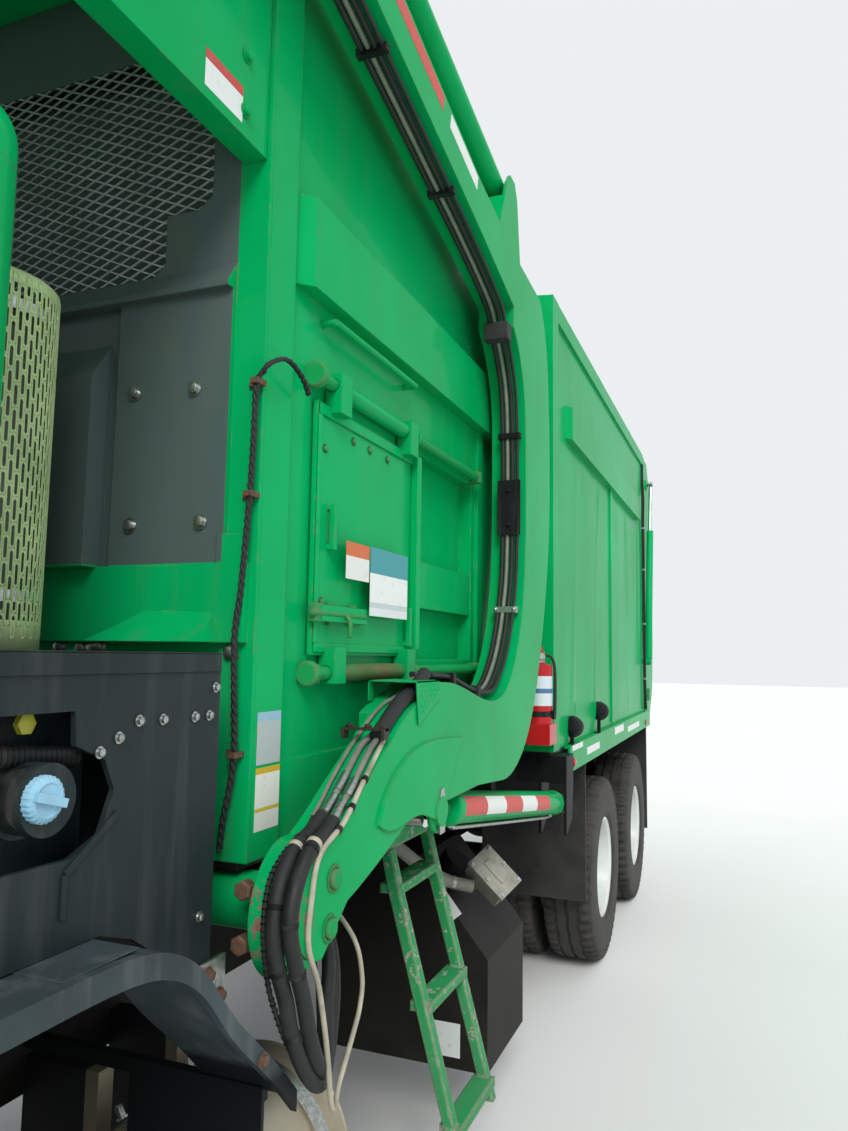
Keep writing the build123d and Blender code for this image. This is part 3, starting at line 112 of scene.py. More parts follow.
def mixed(tree, factor, first, second):
    # blend of two colours by a factor
    return addNode(tree, "ShaderNodeMix", {0: factor, 6: first, 7: second}, data_type="RGBA").outputs[2]


def noiseAt(tree, where, sizeMm, detail=3.0, roughness=0.5):
    # cloud noise whose blotches are about sizeMm across
    inputs = {"Vector": where, "Scale": 1000 / sizeMm, "Detail": detail, "Roughness": roughness}
    return addNode(tree, "ShaderNodeTexNoise", inputs).outputs["Fac"]


def newMaterial(name):
    # an empty material, its node tree, and the object's own coordinates to lay a pattern on
    material = bpy.data.materials.new(name)
    material.use_nodes = True
    tree = material.node_tree
    tree.nodes.clear()
    return material, tree, addNode(tree, "ShaderNodeTexCoord").outputs["Object"]


def closeMaterial(tree, inputs):
    # the surface shader with its inputs, wired to the material's output
    surface = addNode(tree, "ShaderNodeBsdfPrincipled", inputs)
    addNode(tree, "ShaderNodeOutputMaterial", {"Surface": surface.outputs[0]})


studio = {
    "floor": "#e4e3df",
    "floorCloud": "#dcdbd6",
    "floorReach": 60,
    "backdrop": "#eceff2",
    "sky": "#dfe7ee",
    "skyStrength": 1.0,
    "lamps": (  # name, strength, softness in degrees, direction the light travels
        ("key", 2.2, 25, (-0.36, 0.70, -0.62)), ("fill", 0.5, 60, (0.6, 0.5, -0.55)),
        ("rear", 0.35, 60, (-0.3, -0.8, -0.5)),
    ),
}


def makeStudio(look):
    world = bpy.data.worlds.new("studio")
    bpy.context.scene.world = world
    world.use_nodes = True
    tree = world.node_tree
    tree.nodes.clear()
    # Camera rays, gloss and glass see the pale backdrop; everything else is lit by the sky tone
    rays = addNode(tree, "ShaderNodeLightPath").outputs
    seen = larger(tree, larger(tree, rays["Is Camera Ray"], rays["Is Transmission Ray"]),
                  rays["Is Glossy Ray"])
    light = addNode(tree, "ShaderNodeBackground", {"Color": look["sky"], "Strength": look["skyStrength"]})
    shown = addNode(tree, "ShaderNodeBackground", {"Color": look["backdrop"], "Strength": 1.0})
    both = addNode(tree, "ShaderNodeMixShader", {0: seen, 1: light.outputs[0], 2: shown.outputs[0]})
    addNode(tree, "ShaderNodeOutputWorld", {"Surface": both.outputs[0]})
    for name, strength, softness, direction in look["lamps"]:
        data = bpy.data.lights.new(name, "SUN")
        data.energy = strength
        data.angle = math.radians(softness)
        lamp = bpy.data.objects.new(name, data)
        lamp.visible_glossy = name == "key"
        bpy.context.scene.collection.objects.link(lamp)
        z = -np.array(direction) / np.linalg.norm(direction)
        x = np.cross((0, 0, 1), z)
        x /= np.linalg.norm(x)
        lamp.matrix_world = Matrix((x, np.cross(z, x), z)).transposed().to_4x4()
    mesh = bpy.data.meshes.new("floor")
    reach = look["floorReach"]
    corners = [(-reach, -reach, 0), (reach, -reach, 0), (reach, reach, 0), (-reach, reach, 0)]
    mesh.from_pydata(corners, [], [(0, 1, 2, 3)])
    floor = bpy.data.objects.new("floor", mesh)
    bpy.context.scene.collection.objects.link(floor)
    material, tree, where = newMaterial("sealedConcreteFloor")
    cloud = noiseAt(tree, where, 1250, 6.0)
    closeMaterial(tree, {"Base Color": mixed(tree, cloud, look["floor"], look["floorCloud"]),
                         "Roughness": 0.8})
    floor.data.materials.append(material)
    bpy.context.scene.view_settings.view_transform = "Standard"


makeCamera(viewOfTruck)
makeStudio(studio)

print("stage 2: materials")


def stretched(tree, where, scale):
    return addNode(tree, "ShaderNodeMapping", {"Vector": where, "Scale": scale}).outputs[0]


def axisOf(tree, where, axis):
    return addNode(tree, "ShaderNodeSeparateXYZ", {0: where}).outputs[axis]


def stepped(tree, value, low, high, out=(0.0, 1.0)):
    inputs = {"Value": value, "From Min": low, "From Max": high, "To Min": out[0], "To Max": out[1]}
    return addNode(tree, "ShaderNodeMapRange", inputs).outputs[0]


def bumped(tree, height, depthMm, strength=1.0, under=None):
    inputs = {"Height": height, "Distance": depthMm / 1000, "Strength": strength}
    if under is not None:
        inputs["Normal"] = under
    return addNode(tree, "ShaderNodeBump", inputs).outputs[0]


def roundedNormal(tree, radiusMm):
    return addNode(tree, "ShaderNodeBevel", {"Radius": radiusMm / 1000}, samples=4).outputs[0]


def edgeMask(tree, rounded, low=0.004, high=0.06):
    # bright where the surface turns: rounded normal against true normal
    true = addNode(tree, "ShaderNodeNewGeometry").outputs["Normal"]
    dot = addNode(tree, "ShaderNodeVectorMath", {0: rounded, 1: true}, operation="DOT_PRODUCT")
    return stepped(tree, maths(tree, "SUBTRACT", 1.0, dot.outputs["Value"]), low, high)


def insideWindowFrame(tree, where, region):
    # 1 where the wall behind the cab is coloured darker: nearer the middle than halfWidth and above foot
    near = maths(tree, "LESS_THAN", maths(tree, "ABSOLUTE", axisOf(tree, where, "X")), region["halfWidth"])
    return times(tree, near, maths(tree, "GREATER_THAN", axisOf(tree, where, "Z"), region["foot"]))


def nearPivot(tree, where, region):
    # 1 at the worn rim beside a pivot, falling to 0 at the region's radius from its centre in the y-z plane
    flat = {"Y": axisOf(tree, where, "Y"), "Z": axisOf(tree, where, "Z")}
    flat = addNode(tree, "ShaderNodeCombineXYZ", flat).outputs[0]
    centre = (0.0, region["station"] + frontAxleY, region["height"])
    gap = addNode(tree, "ShaderNodeVectorMath", {0: flat, 1: centre}, operation="DISTANCE").outputs["Value"]
    return stepped(tree, gap, region["radius"], region["radius"] * 0.6)


def paintedSteel(name, look):
    # Sprayed enamel on steel plate: a thin gloss over faint orange peel and hammered-out waves,
    # chalked blotches, run-down dirt, dust towards the ground, and chips to rust along the edges
    material, tree, where = newMaterial(name)
    blotch = stepped(tree, noiseAt(tree, where, look["blotchMm"], 4.0, 0.6), 0.35, 0.7)
    colour = mixed(tree, blotch, look["colour"], look["faded"])
    # a darker grey-green laid over the wall's middle, above the foot
    if look.get("darkerWallMiddle"):
        darkerWallMiddle = insideWindowFrame(tree, where, look["darkerWallMiddle"])
        colour = mixed(tree, darkerWallMiddle, colour, look["darkerWallMiddle"]["colour"])
    run = stretched(tree, where, (1.0, 1.0, 0.07))
    streak = stepped(tree, noiseAt(tree, run, look["streakMm"], 4.0, 0.65), 0.52, 0.8, (0.0, look["streak"]))
    low = stepped(tree, axisOf(tree, where, "Z"), look["dustTop"], 0.2)
    grime = stepped(tree, noiseAt(tree, where, 220, 8.0, 0.7), 0.3, 0.75, (0.15, 1.0))
    dirt = larger(tree, streak, times(tree, times(tree, low, grime), look["dust"]))
    colour = mixed(tree, dirt, colour, look["dirtColour"])
    speck = noiseAt(tree, where, look["chipMm"], 3.0, 0.7)
    speck = stepped(tree, speck, look["speckFrom"], look["speckFrom"] + 0.03)
    cluster = stepped(tree, noiseAt(tree, where, 420, 2.0), look["clusterFrom"], look["clusterFrom"] + 0.10)
    if look.get("scraped"):
        cluster = larger(tree, cluster, nearPivot(tree, where, look["scraped"]))
    rounded = roundedNormal(tree, look["edgeMm"])
    patchy = stepped(tree, noiseAt(tree, where, 45, 5.0, 0.7), 0.62 - 0.3 * look["wear"], 0.66)
    edge = times(tree, edgeMask(tree, rounded), patchy)
    chip = larger(tree, times(tree, speck, cluster), times(tree, edge, look["edge"]))
    rustTone = mixed(tree, noiseAt(tree, where, 14, 4.0), look["rust"], look["bare"])
    rough = stepped(tree, larger(tree, chip, dirt), 0.0, 1.0, (look["roughness"], 0.72))
    wave = bumped(tree, noiseAt(tree, where, look["waveMm"], 1.0), look["waveDepthMm"], 0.6, rounded)
    peel = bumped(tree, noiseAt(tree, where, 7, 1.0), 0.12, 0.35, wave)
    closeMaterial(tree, {
        "Base Color": mixed(tree, chip, colour, rustTone), "Roughness": rough,
        "Normal": bumped(tree, chip, -0.3, 0.5, peel), "IOR": 1.5, "Specular IOR Level": look["gloss"],
        "Coat Weight": look["coat"], "Coat Roughness": 0.06, "Coat IOR": 1.4,
    })
    return material


enamelBase = {
    "blotchMm": 900, "streakMm": 70, "streak": 0.15, "dustTop": 1.3, "dust": 0.3, "chipMm": 9, "edgeMm": 5,
    "speckFrom": 0.70, "clusterFrom": 0.56, "wear": 0.35, "edge": 0.8, "rust": "#6b3a22", "bare": "#8d8478",
    "roughness": 0.28, "waveMm": 450, "waveDepthMm": 5.0, "gloss": 0.02, "coat": 0.11,
    "dirtColour": "#5d6454",
}


def rubberSurface(name, look):
    # Vulcanised rubber: near black, dull, greyed by dust in its hollows, with a fine leathery grain
    material, tree, where = newMaterial(name)
    cloud = stepped(tree, noiseAt(tree, where, look["cloudMm"], 6.0, 0.65), 0.35, 0.75)
    closeMaterial(tree, {
        "Base Color": mixed(tree, cloud, look["colour"], look["dusty"]), "IOR": 1.52,
        "Roughness": stepped(tree, cloud, 0.0, 1.0, (look["roughness"], 0.9)),
        "Normal": bumped(tree, noiseAt(tree, where, look["grainMm"], 2.0), 0.25, 0.5),
    })
    return material


def mouldedPlastic(name, look):
    # Injection-moulded ABS: satin with a spark-eroded grain, sun-bleached blotches and dried dust
    material, tree, where = newMaterial(name)
    bleach = stepped(tree, noiseAt(tree, where, look["bleachMm"], 5.0, 0.6), 0.3, 0.75)
    colour = mixed(tree, bleach, look["colour"], look["bleached"])
    run = stretched(tree, where, (1.0, 1.0, 0.1))
    film = stepped(tree, noiseAt(tree, run, 60, 4.0, 0.6), 0.5, 0.8, (0.0, look["dust"]))
    colour = mixed(tree, film, colour, "#8b8a80")
    if look.get("shadedBelow"):
        # painted shade: the guard under the arch is darkened to near black below the bound
        bound = look["shadedBelow"]
        shaded = stepped(tree, axisOf(tree, where, "Z"), bound + 0.03, bound)
        colour = mixed(tree, shaded, colour, "#15181a")
    grain = bumped(tree, noiseAt(tree, where, 2.5, 2.0), 0.15, 0.4)
    closeMaterial(tree, {
        "Base Color": colour, "Roughness": stepped(tree, film, 0.0, 1.0, (look["roughness"], 0.75)),
        "Normal": bumped(tree, noiseAt(tree, where, 300, 1.0), 3.0, 0.5, grain), "IOR": 1.53,
        "Specular IOR Level": 0.12,
    })
    return material


def bareMetal(name, look):
    # Rolled or plated metal: brushed along one way, dulled by oxide clouds, and steel spotted with rust
    material, tree, where = newMaterial(name)
    brushed = noiseAt(tree, stretched(tree, where, look["brush"]), 3, 3.0)
    cloud = stepped(tree, noiseAt(tree, where, look["cloudMm"], 5.0, 0.6), 0.35, 0.75)
    clean = 1.0 - look["rusted"]
    spot = stepped(tree, noiseAt(tree, where, look["spotMm"], 4.0, 0.7), clean, clean + 0.06)
    colour = mixed(tree, spot, mixed(tree, cloud, look["colour"], look["oxide"]), look["rust"])
    metal = stepped(tree, spot, 0.0, 1.0, (look["metallic"], 0.1))
    if look.get("blackInside"):
        # brackets between the rails and the tank are painted black: |x| below the bound
        out = maths(tree, "ABSOLUTE", axisOf(tree, where, "X"))
        black = stepped(tree, out, look["blackInside"] + 0.001, look["blackInside"])
        colour = mixed(tree, black, colour, "#131414")
        metal = stepped(tree, larger(tree, spot, black), 0.0, 1.0, (look["metallic"], 0.0))
    rough = (look["roughness"], look["dullRoughness"])
    closeMaterial(tree, {
        "Base Color": colour, "Metallic": metal, "Normal": bumped(tree, brushed, 0.06, 0.4),
        "Roughness": stepped(tree, larger(tree, cloud, spot), 0.0, 1.0, rough),
    })
    return material


metalBase = {
    "brush": (0.1, 1.0, 1.0), "cloudMm": 120, "spotMm": 30, "rusted": 0.3, "rust": "#7a4526", "metallic": 1.0,
    "roughness": 0.3, "dullRoughness": 0.55,
}


def toughenedGlass(name, look):
    # Toughened glass: a clear tinted sheet with a strong reflection and a faint dusty film
    material, tree, where = newMaterial(name)
    film = stepped(tree, noiseAt(tree, where, 160, 5.0), 0.4, 0.8, (0.0, look["film"]))
    closeMaterial(tree, {
        "Base Color": look["tint"], "Roughness": film, "IOR": 1.5, "Alpha": look["cover"],
        "Specular IOR Level": 0.6,
    })
    return material


def vinylFilm(name, bands, direction="Y"):
    # Cast vinyl on a backing of reflective beads: bands of colour across its own UV, each from a share on,
    # scuffed in small patches
    material, tree, where = newMaterial(name)
    along = axisOf(tree, where.node.outputs["UV"], direction)
    colour = bands[0][1]
    for start, tone in bands[1:]:
        colour = mixed(tree, maths(tree, "GREATER_THAN", along, start), colour, tone)
    worn = stepped(tree, noiseAt(tree, where, 25, 5.0, 0.7), 0.60, 0.72, (0.0, 0.55))
    closeMaterial(tree, {"Base Color": mixed(tree, worn, colour, "#8f9388"), "Roughness": 0.42, "IOR": 1.46})
    return material


def lampLens(name, tint, glow):
    # Moulded acrylic lens over a bright bowl: coloured, glossy, with fine prisms a few millimetres wide
    material, tree, where = newMaterial(name)
    prisms = {"Vector": where, "Scale": 25.0, "Distortion": 0.0}
    prisms = addNode(tree, "ShaderNodeTexWave", prisms, bands_direction="X").outputs["Fac"]
    lit = stepped(tree, noiseAt(tree, where, 40, 3.0), 0.3, 0.8)
    closeMaterial(tree, {
        "Base Color": mixed(tree, lit, tint, glow), "Roughness": 0.12,
        "Normal": bumped(tree, prisms, 0.8, 0.5), "IOR": 1.49, "Coat Weight": 0.6,
    })
    return material


finish = {
    "green": paintedSteel("greenEnamel", {**enamelBase, "colour": "#029850", "faded": "#06aa62"}),
    "greenWorn": paintedSteel("greenEnamelWorn", {
        **enamelBase, "colour": "#088c47", "faded": "#219a57", "wear": 0.95, "edge": 1.0, "edgeMm": 9,
        "dust": 0.55, "chipMm": 22, "roughness": 0.4,
    }),
    "ladderGreen": paintedSteel("greenEnamelTrodden", {
        **enamelBase, "colour": "#088c47", "faded": "#2f9a5c", "wear": 1.7, "edge": 1.0, "edgeMm": 14,
        "dust": 0.6, "chipMm": 34, "speckFrom": 0.57, "clusterFrom": 0.40, "roughness": 0.45,
        "bare": "#c4c2b6", "rust": "#6f5140",
    }),
    "armGreen": paintedSteel("greenEnamelScraped", {
        **enamelBase, "colour": "#029850", "faded": "#06aa62", "chipMm": 26, "speckFrom": 0.53,
        "clusterFrom": 0.75, "wear": 0.7, "dust": 0.12,
        "scraped": {"station": 0.655, "height": 1.265, "radius": 0.085},
    }),
    "wallGreen": paintedSteel("greenEnamelDarkerAbove", {
        **enamelBase, "colour": "#029850", "faded": "#06aa62", "streak": 0.4, "roughness": 0.4, "wear": 0.3,
        "darkerWallMiddle": {"halfWidth": 1.045, "foot": 1.966, "colour": "#4f5e5b"},
    }),
    "chassis": paintedSteel("blackChassisPaint", {
        **enamelBase, "colour": "#101111", "faded": "#191b1b", "dirtColour": "#393529", "dust": 0.6,
        "roughness": 0.5, "gloss": 0.12, "coat": 0.0, "blotchMm": 300, "rust": "#4f3020", "bare": "#3a342d",
    }),
    "wheelWhite": paintedSteel("whiteWheelPaint", {
        **enamelBase, "colour": "#dcdfdb", "faded": "#cfd2cc", "dirtColour": "#6b6355", "streak": 0.2,
        "dust": 0.35, "dustTop": 1.1, "roughness": 0.35, "gloss": 0.5, "wear": 0.2, "waveDepthMm": 0.5,
    }),
    "red": paintedSteel("redEnamel", {
        **enamelBase, "colour": "#b5161b", "faded": "#a5242a", "wear": 0.2, "streak": 0.12, "dust": 0.15,
        "gloss": 0.3, "waveDepthMm": 0.3,
    }),
    "plastic": mouldedPlastic("blackMouldedPlastic", {
        "colour": "#1a2323", "bleached": "#283333", "bleachMm": 500, "dust": 0.12, "roughness": 0.42,
    }),
    "trim": mouldedPlastic("blackTrimPlastic", {
        "colour": "#101112", "bleached": "#1d1f20", "bleachMm": 200, "dust": 0.2, "roughness": 0.5,
    }),
    "fender": mouldedPlastic("greyedArchPlastic", {
        "colour": "#262e30", "bleached": "#465155", "bleachMm": 350, "dust": 0.3, "roughness": 0.5,
        "shadedBelow": 0.985,
    }),
    "blueCap": mouldedPlastic("blueCapPlastic", {
        "colour": "#76b3d2", "bleached": "#a5cfdf", "bleachMm": 60, "dust": 0.3, "roughness": 0.4,
    }),
    "rubber": rubberSurface("mudflapRubber", {
        "colour": "#121212", "dusty": "#3b3832", "cloudMm": 200, "grainMm": 3, "roughness": 0.6,
    }),
    "tyre": rubberSurface("tyreRubber", {
        "colour": "#151515", "dusty": "#45413a", "cloudMm": 120, "grainMm": 4, "roughness": 0.65,
    }),
    "hose": rubberSurface("braidedHoseSleeve", {
        "colour": "#0c0d0d", "dusty": "#272929", "cloudMm": 60, "grainMm": 3, "roughness": 0.6,
    }),
    "greyHose": rubberSurface("greyHydraulicHose", {
        "colour": "#6d6e66", "dusty": "#8a867a", "cloudMm": 40, "grainMm": 2, "roughness": 0.5,
    }),
    "paleHose": rubberSurface("beigeThermoplasticHose", {
        "colour": "#b8b09a", "dusty": "#7c7668", "cloudMm": 90, "grainMm": 2, "roughness": 0.45,
    }),
    "tank": bareMetal("millAluminium", {
        **metalBase, "colour": "#b9b1a0", "oxide": "#a4977c", "cloudMm": 350, "rusted": 0.26,
        "rust": "#8a5a2c", "metallic": 0.75, "roughness": 0.4, "dullRoughness": 0.62,
        "brush": (1.0, 0.1, 1.0), "blackInside": 0.617,
    }),
    "screen": bareMetal("expandedSteelMesh", {
        **metalBase, "colour": "#b2b7b4", "oxide": "#8b8a84", "metallic": 0.3, "roughness": 0.55,
        "rusted": 0.34,
    }),
    "exhaust": bareMetal("tarnishedAluminisedSteel", {
        **metalBase, "colour": "#8c8d84", "oxide": "#6b6a5f", "metallic": 0.7, "roughness": 0.5,
        "rusted": 0.36,
    }),
    # grey steel whose pale green colour and oxide are a painted reflection of green surroundings
    "guard": bareMetal("perforatedGuardSteelGreenReflection", {
        **metalBase, "colour": "#bdd196", "oxide": "#93ad78", "metallic": 0.15, "roughness": 0.5,
        "rusted": 0.3,
    }),
    "chrome": bareMetal("hardChromeRod", {
        **metalBase, "colour": "#d9dadb", "oxide": "#b9bbbc", "metallic": 1.0, "roughness": 0.08,
        "dullRoughness": 0.2, "rusted": 0.12,
    }),
    "zinc": bareMetal("zincPlatedSteel", {
        **metalBase, "colour": "#b9bdbb", "oxide": "#85867f", "cloudMm": 12, "spotMm": 8, "rusted": 0.38,
        "roughness": 0.3,
    }),
    "rustySteel": bareMetal("rustedSteel", {
        **metalBase, "colour": "#6e5544", "oxide": "#4a382c", "cloudMm": 10, "spotMm": 6, "rusted": 0.45,
        "metallic": 0.3, "roughness": 0.7, "dullRoughness": 0.85,
    }),
    "glass": toughenedGlass("toughenedGlass", {"tint": "#2c3a38", "film": 0.12, "cover": 0.42}),
    "redLens": lampLens("redAcrylicLens", "#8e0f12", "#c2272a"),
    "amberLens": lampLens("amberAcrylicLens", "#c26a10", "#e08a22"),
    "clearLens": lampLens("clearAcrylicLens", "#b9c2c6", "#e6ebee"),
}
slotFinish = {
    "green_enamel": "green", "black_chassis_paint": "chassis", "black_plastic": "plastic",
    "black_rubber": "rubber", "tyre_rubber": "tyre", "white_wheel_paint": "wheelWhite", "cab_glass": "glass",
    "lamp_glass": "redLens", "exhaust_steel": "exhaust", "tank_metal": "tank", "screen_steel": "screen",
    "red_enamel": "red", "chrome_rod": "chrome",
}
nodeFinish = {  # nodes whose own surface differs from their slot's usual one
    "ladder": "ladderGreen", "hopper_front": "wallGreen", "front_fenders": "fender", "lamps": "clearLens",
    "door_rails": "greenWorn", "lift_arms": "armGreen",
}


def dressNodes():
    for part in frame["record"]["subparts"]:
        node = frame["nodes"][part["node"]]
        chosen = nodeFinish.get(part["node"], slotFinish[part["material_slot"]])
        node.data.materials.clear()
        node.data.materials.append(finish[chosen])


dressNodes()

print("stage 3: mesh makers")


def gridFaces(rows, columns, closed=False):
    # quads of a grid of points stored row by row; closed joins the last column to the first
    steps = columns if closed else columns - 1
    row, column = np.meshgrid(np.arange(rows - 1), np.arange(steps), indexing="ij")
    after = (column + 1) % columns
    low, high = row * columns, (row + 1) * columns
    return np.stack((low + column, low + after, high + after, high + column), axis=-1).reshape(-1, 4)


def pipeFaces(rings, sides, capped=True):
    # the faces of rings of points joined into a pipe, with or without its two ends
    faces = gridFaces(rings, sides, True).tolist()
    if capped:
        faces += [list(range(sides))[::-1], list(range(sides * (rings - 1), sides * rings))]
    return faces


def around(count):
    return np.linspace(0, 2 * math.pi, count, endpoint=False)


def revolved(profile, origin, axis, sides=24, capped=True):
    # a lathe form: each profile point (distance along the axis, radius) becomes a ring of points
    axis = np.array(axis, float) / np.linalg.norm(axis)
    helper = np.array((0, 0, 1.0)) if abs(axis[2]) < 0.9 else np.array((1.0, 0, 0))
    first = np.cross(helper, axis)
    first /= np.linalg.norm(first)
    second = np.cross(axis, first)
    turn = around(sides)
    ring = np.cos(turn)[:, None] * first + np.sin(turn)[:, None] * second
    profile = np.array(profile, float)
    points = np.array(origin) + profile[:, None, 0:1] * axis + profile[:, None, 1:2] * ring[None]
    return points.reshape(-1, 3), pipeFaces(len(profile), sides, capped)


def rounded(points, step=0.02):
    # a smooth line through the given points, by Catmull-Rom between b and c of each four in a row:
    # p = half of (2b + (c - a) t + (2a - 5b + 4c - d) t2 + (3b - a - 3c + d) t3)
    p = np.array(points, float)
    p = np.vstack((2 * p[0] - p[1], p, 2 * p[-1] - p[-2]))
    pieces = []
    for a, b, c, d in zip(p, p[1:], p[2:], p[3:]):
        count = max(2, int(np.linalg.norm(c - b) / step))
        t = np.linspace(0, 1, count, endpoint=False)[:, None]
        square, cube = 2 * a - 5 * b + 4 * c - d, 3 * b - a - 3 * c + d
        pieces.append(0.5 * (2 * b + (c - a) * t + square * t**2 + cube * t**3))
    return np.vstack(pieces + [p[-2:-1]])


def tube(path, radius, sides=10):
    # a round section carried along a line without twist; radius is one value or one per point
    path = np.array(path, float)
    along = np.gradient(path, axis=0)
    along /= np.linalg.norm(along, axis=1)[:, None]
    side = np.cross(along[0], (0.31, 0.17, 0.93))
    first = []
    for direction in along:
        side = side - direction * side.dot(direction)
        side = side / np.linalg.norm(side)
        first.append(side)
    first = np.array(first)
    second = np.cross(along, first)
    turn = around(sides)
    spread = np.broadcast_to(np.array(radius, float), len(path))[:, None, None]
    ring = np.cos(turn)[None, :, None] * first[:, None] + np.sin(turn)[None, :, None] * second[:, None]
    return (path[:, None] + spread * ring).reshape(-1, 3), pipeFaces(len(path), sides)


def boxed(x, y, z):
    # a box between two values on each axis
    corners = np.array([(a, b, c) for a in x for b in y for c in z], float)
    return corners, [[0, 1, 3, 2], [4, 6, 7, 5], [0, 4, 5, 1], [2, 3, 7, 6], [0, 2, 6, 4], [1, 5, 7, 3]]


def bar(start, end, width, height, up=(0, 0, 1)):
    # a rectangular bar between two places
    start, end, up = (np.array(v, float) for v in (start, end, up))
    along = (end - start) / np.linalg.norm(end - start)
    side = np.cross(along, up)
    side /= np.linalg.norm(side)
    above = np.cross(side, along)
    corners, faces = boxed((0, 1), (-width / 2, width / 2), (-height / 2, height / 2))
    return start + corners[:, 0:1] * (end - start) + corners[:, 1:2] * side + corners[:, 2:3] * above, faces


def sheetOf(outline, axis, low, high):
    # a flat outline of two coordinates carried along the third axis, from low to high
    outline = np.array(outline, float)
    count = len(outline)
    layers = [np.insert(outline, axis, value, axis=1) for value in (low, high)]
    faces = [list(range(count))[::-1], list(range(count, 2 * count))]
    faces += [[i, (i + 1) % count, count + (i + 1) % count, count + i] for i in range(count)]
    return np.vstack(layers), faces


def placed(shape, places, directions):
    # copies of a shape drawn round its own Z axis, each set at a place and turned to a direction
    points, faces = shape
    places = np.atleast_2d(np.array(places, float))
    z = np.broadcast_to(np.array(directions, float), places.shape)
    z = z / np.linalg.norm(z, axis=1)[:, None]
    helper = np.where(np.abs(z[:, 2:3]) < 0.9, np.array((0, 0, 1.0)), np.array((1.0, 0, 0)))
    x = np.cross(helper, z)
    x /= np.linalg.norm(x, axis=1)[:, None]
    y = np.cross(z, x)
    world = places[:, None] + points[None, :, 0:1] * x[:, None] + points[None, :, 1:2] * y[:, None]
    world = world + points[None, :, 2:3] * z[:, None]
    size = len(points)
    return world.reshape(-1, 3), [[i + n * size for i in face] for n in range(len(places)) for face in faces]


def hexBolt(width, height, washer=True):
    # a bolt's head on a round washer, or a plain hexagon head, standing on the plane z = 0
    foot = [(0.0, width * 0.82), (0.15 * height, width * 0.82)] if washer else [(0.0, width * 0.5)]
    head = [(0.15 * height, width * 0.55), (0.9 * height, width * 0.55), (height, width * 0.45)]
    return revolved(foot + head, (0, 0, 0), (0, 0, 1), 12 if washer else 6)


def bolts(width, height, places, ways, washer=True):
    return placed(hexBolt(width, height, washer), places, ways)


def mirroredX(shape):
    points, faces = shape
    return points * (-1, 1, 1), [face[::-1] for face in faces]


def onSide(side, shapes):
    # shapes drawn on the left side, kept there or mirrored to the right one
    return [shape if side > 0 else mirroredX(shape) for shape in shapes]


def onBoth(shapes):
    return shapes + [mirroredX(shape) for shape in shapes]


leftAndRight = (("Left", 1), ("Right", -1))
usualSlot = {  # finish on a scene piece: the material slot it belongs to, unless a call names another
    **dict.fromkeys(("green", "greenWorn", "railRust", "whiteLabel", "redTape", "barrelTape"),
                    "green_enamel"),
    **dict.fromkeys(("trim", "plastic", "fender", "blueCap", "seatCloth", "yellowSpot"), "black_plastic"),
    **dict.fromkeys(("zinc", "rustySteel", "chassis", "darkBracket"), "black_chassis_paint"),
    **dict.fromkeys(("hose", "greyHose", "paleHose", "rubber"), "black_rubber"),
    **dict.fromkeys(("redLens", "amberLens", "clearLens"), "lamp_glass"),
    **dict.fromkeys(("tank", "castBlock"), "tank_metal"),
    **dict.fromkeys(("exhaust", "guard"), "exhaust_steel"),
    **dict.fromkeys(("red", "bottleVinyl"), "red_enamel"),
    "tyre": "tyre_rubber", "screen": "screen_steel", "mirror": "chrome_rod",
}


def makePiece(name, shapes, look, body="chassis", smooth=35, bevel=0.0, replaced=(), uv=None):
    # one visible piece from several point-and-face shapes, whose stations are shifted to the frame's origin;
    # smooth is the sharpest rounded angle in degrees and bevel the soft edge in millimetres
    count, points, faces = 0, [], []
    for shapePoints, shapeFaces in shapes:
        points.append(shapePoints)
        faces += [[i + count for i in face] for face in shapeFaces]
        count += len(shapePoints)
    mesh = bpy.data.meshes.new(name)
    mesh.from_pydata((np.vstack(points) + (0, frontAxleY, 0)).tolist(), [], faces)
    mesh.validate()
    mesh.polygons.foreach_set("use_smooth", [True] * len(mesh.polygons))
    mesh.set_sharp_from_angle(angle=math.radians(smooth))
    if uv is not None:
        layer = mesh.uv_layers.new(name="own")
        loops = np.empty(len(mesh.loops), int)
        mesh.loops.foreach_get("vertex_index", loops)
        layer.data.foreach_set("uv", np.array(uv, float)[loops].ravel())
    thing = bpy.data.objects.new(name, mesh)
    bpy.context.scene.collection.objects.link(thing)
    mesh.materials.append(finish[look])
    if bevel:
        edge = thing.modifiers.new("softEdge", "BEVEL")
        edge.width = bevel / 1000
        edge.segments = 2
        edge.limit_method = "ANGLE"
        edge.angle_limit = math.radians(40)
    if body:
        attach(thing, body)
    if replaced:
        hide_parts(*replaced)
    return thing


print("stage 4: wheels")

tread = {
    "around": 216, "blocks": 54, "radius": 0.525,
    "ribDepth": 0.013, "blockDepth": 0.012, "crownDrop": 0.0072, "sway": 0.004,
    "wall": (  # distance inwards from the tyre's side and radius, from the bead out to the shoulder
        (0.018, 0.286), (0.006, 0.302), (0.001, 0.318), (0.003, 0.335), (0.0005, 0.36), (0.0, 0.40),
        (0.001, 0.445), (0.006, 0.475), (0.004, 0.478), (0.004, 0.498), (0.012, 0.512),
    ),
}
frontTread = {
    "width": 0.315, "grooves": (-0.075, -0.026, 0.026, 0.075), "shoulder": 0.105, "gap": 0.16,
    "depthShare": 0.5,
}
rearTread = {
    "width": 0.280, "grooves": (-0.062, 0.0, 0.062), "shoulder": 0.066, "gap": 0.28, "depthShare": 1.0,
}


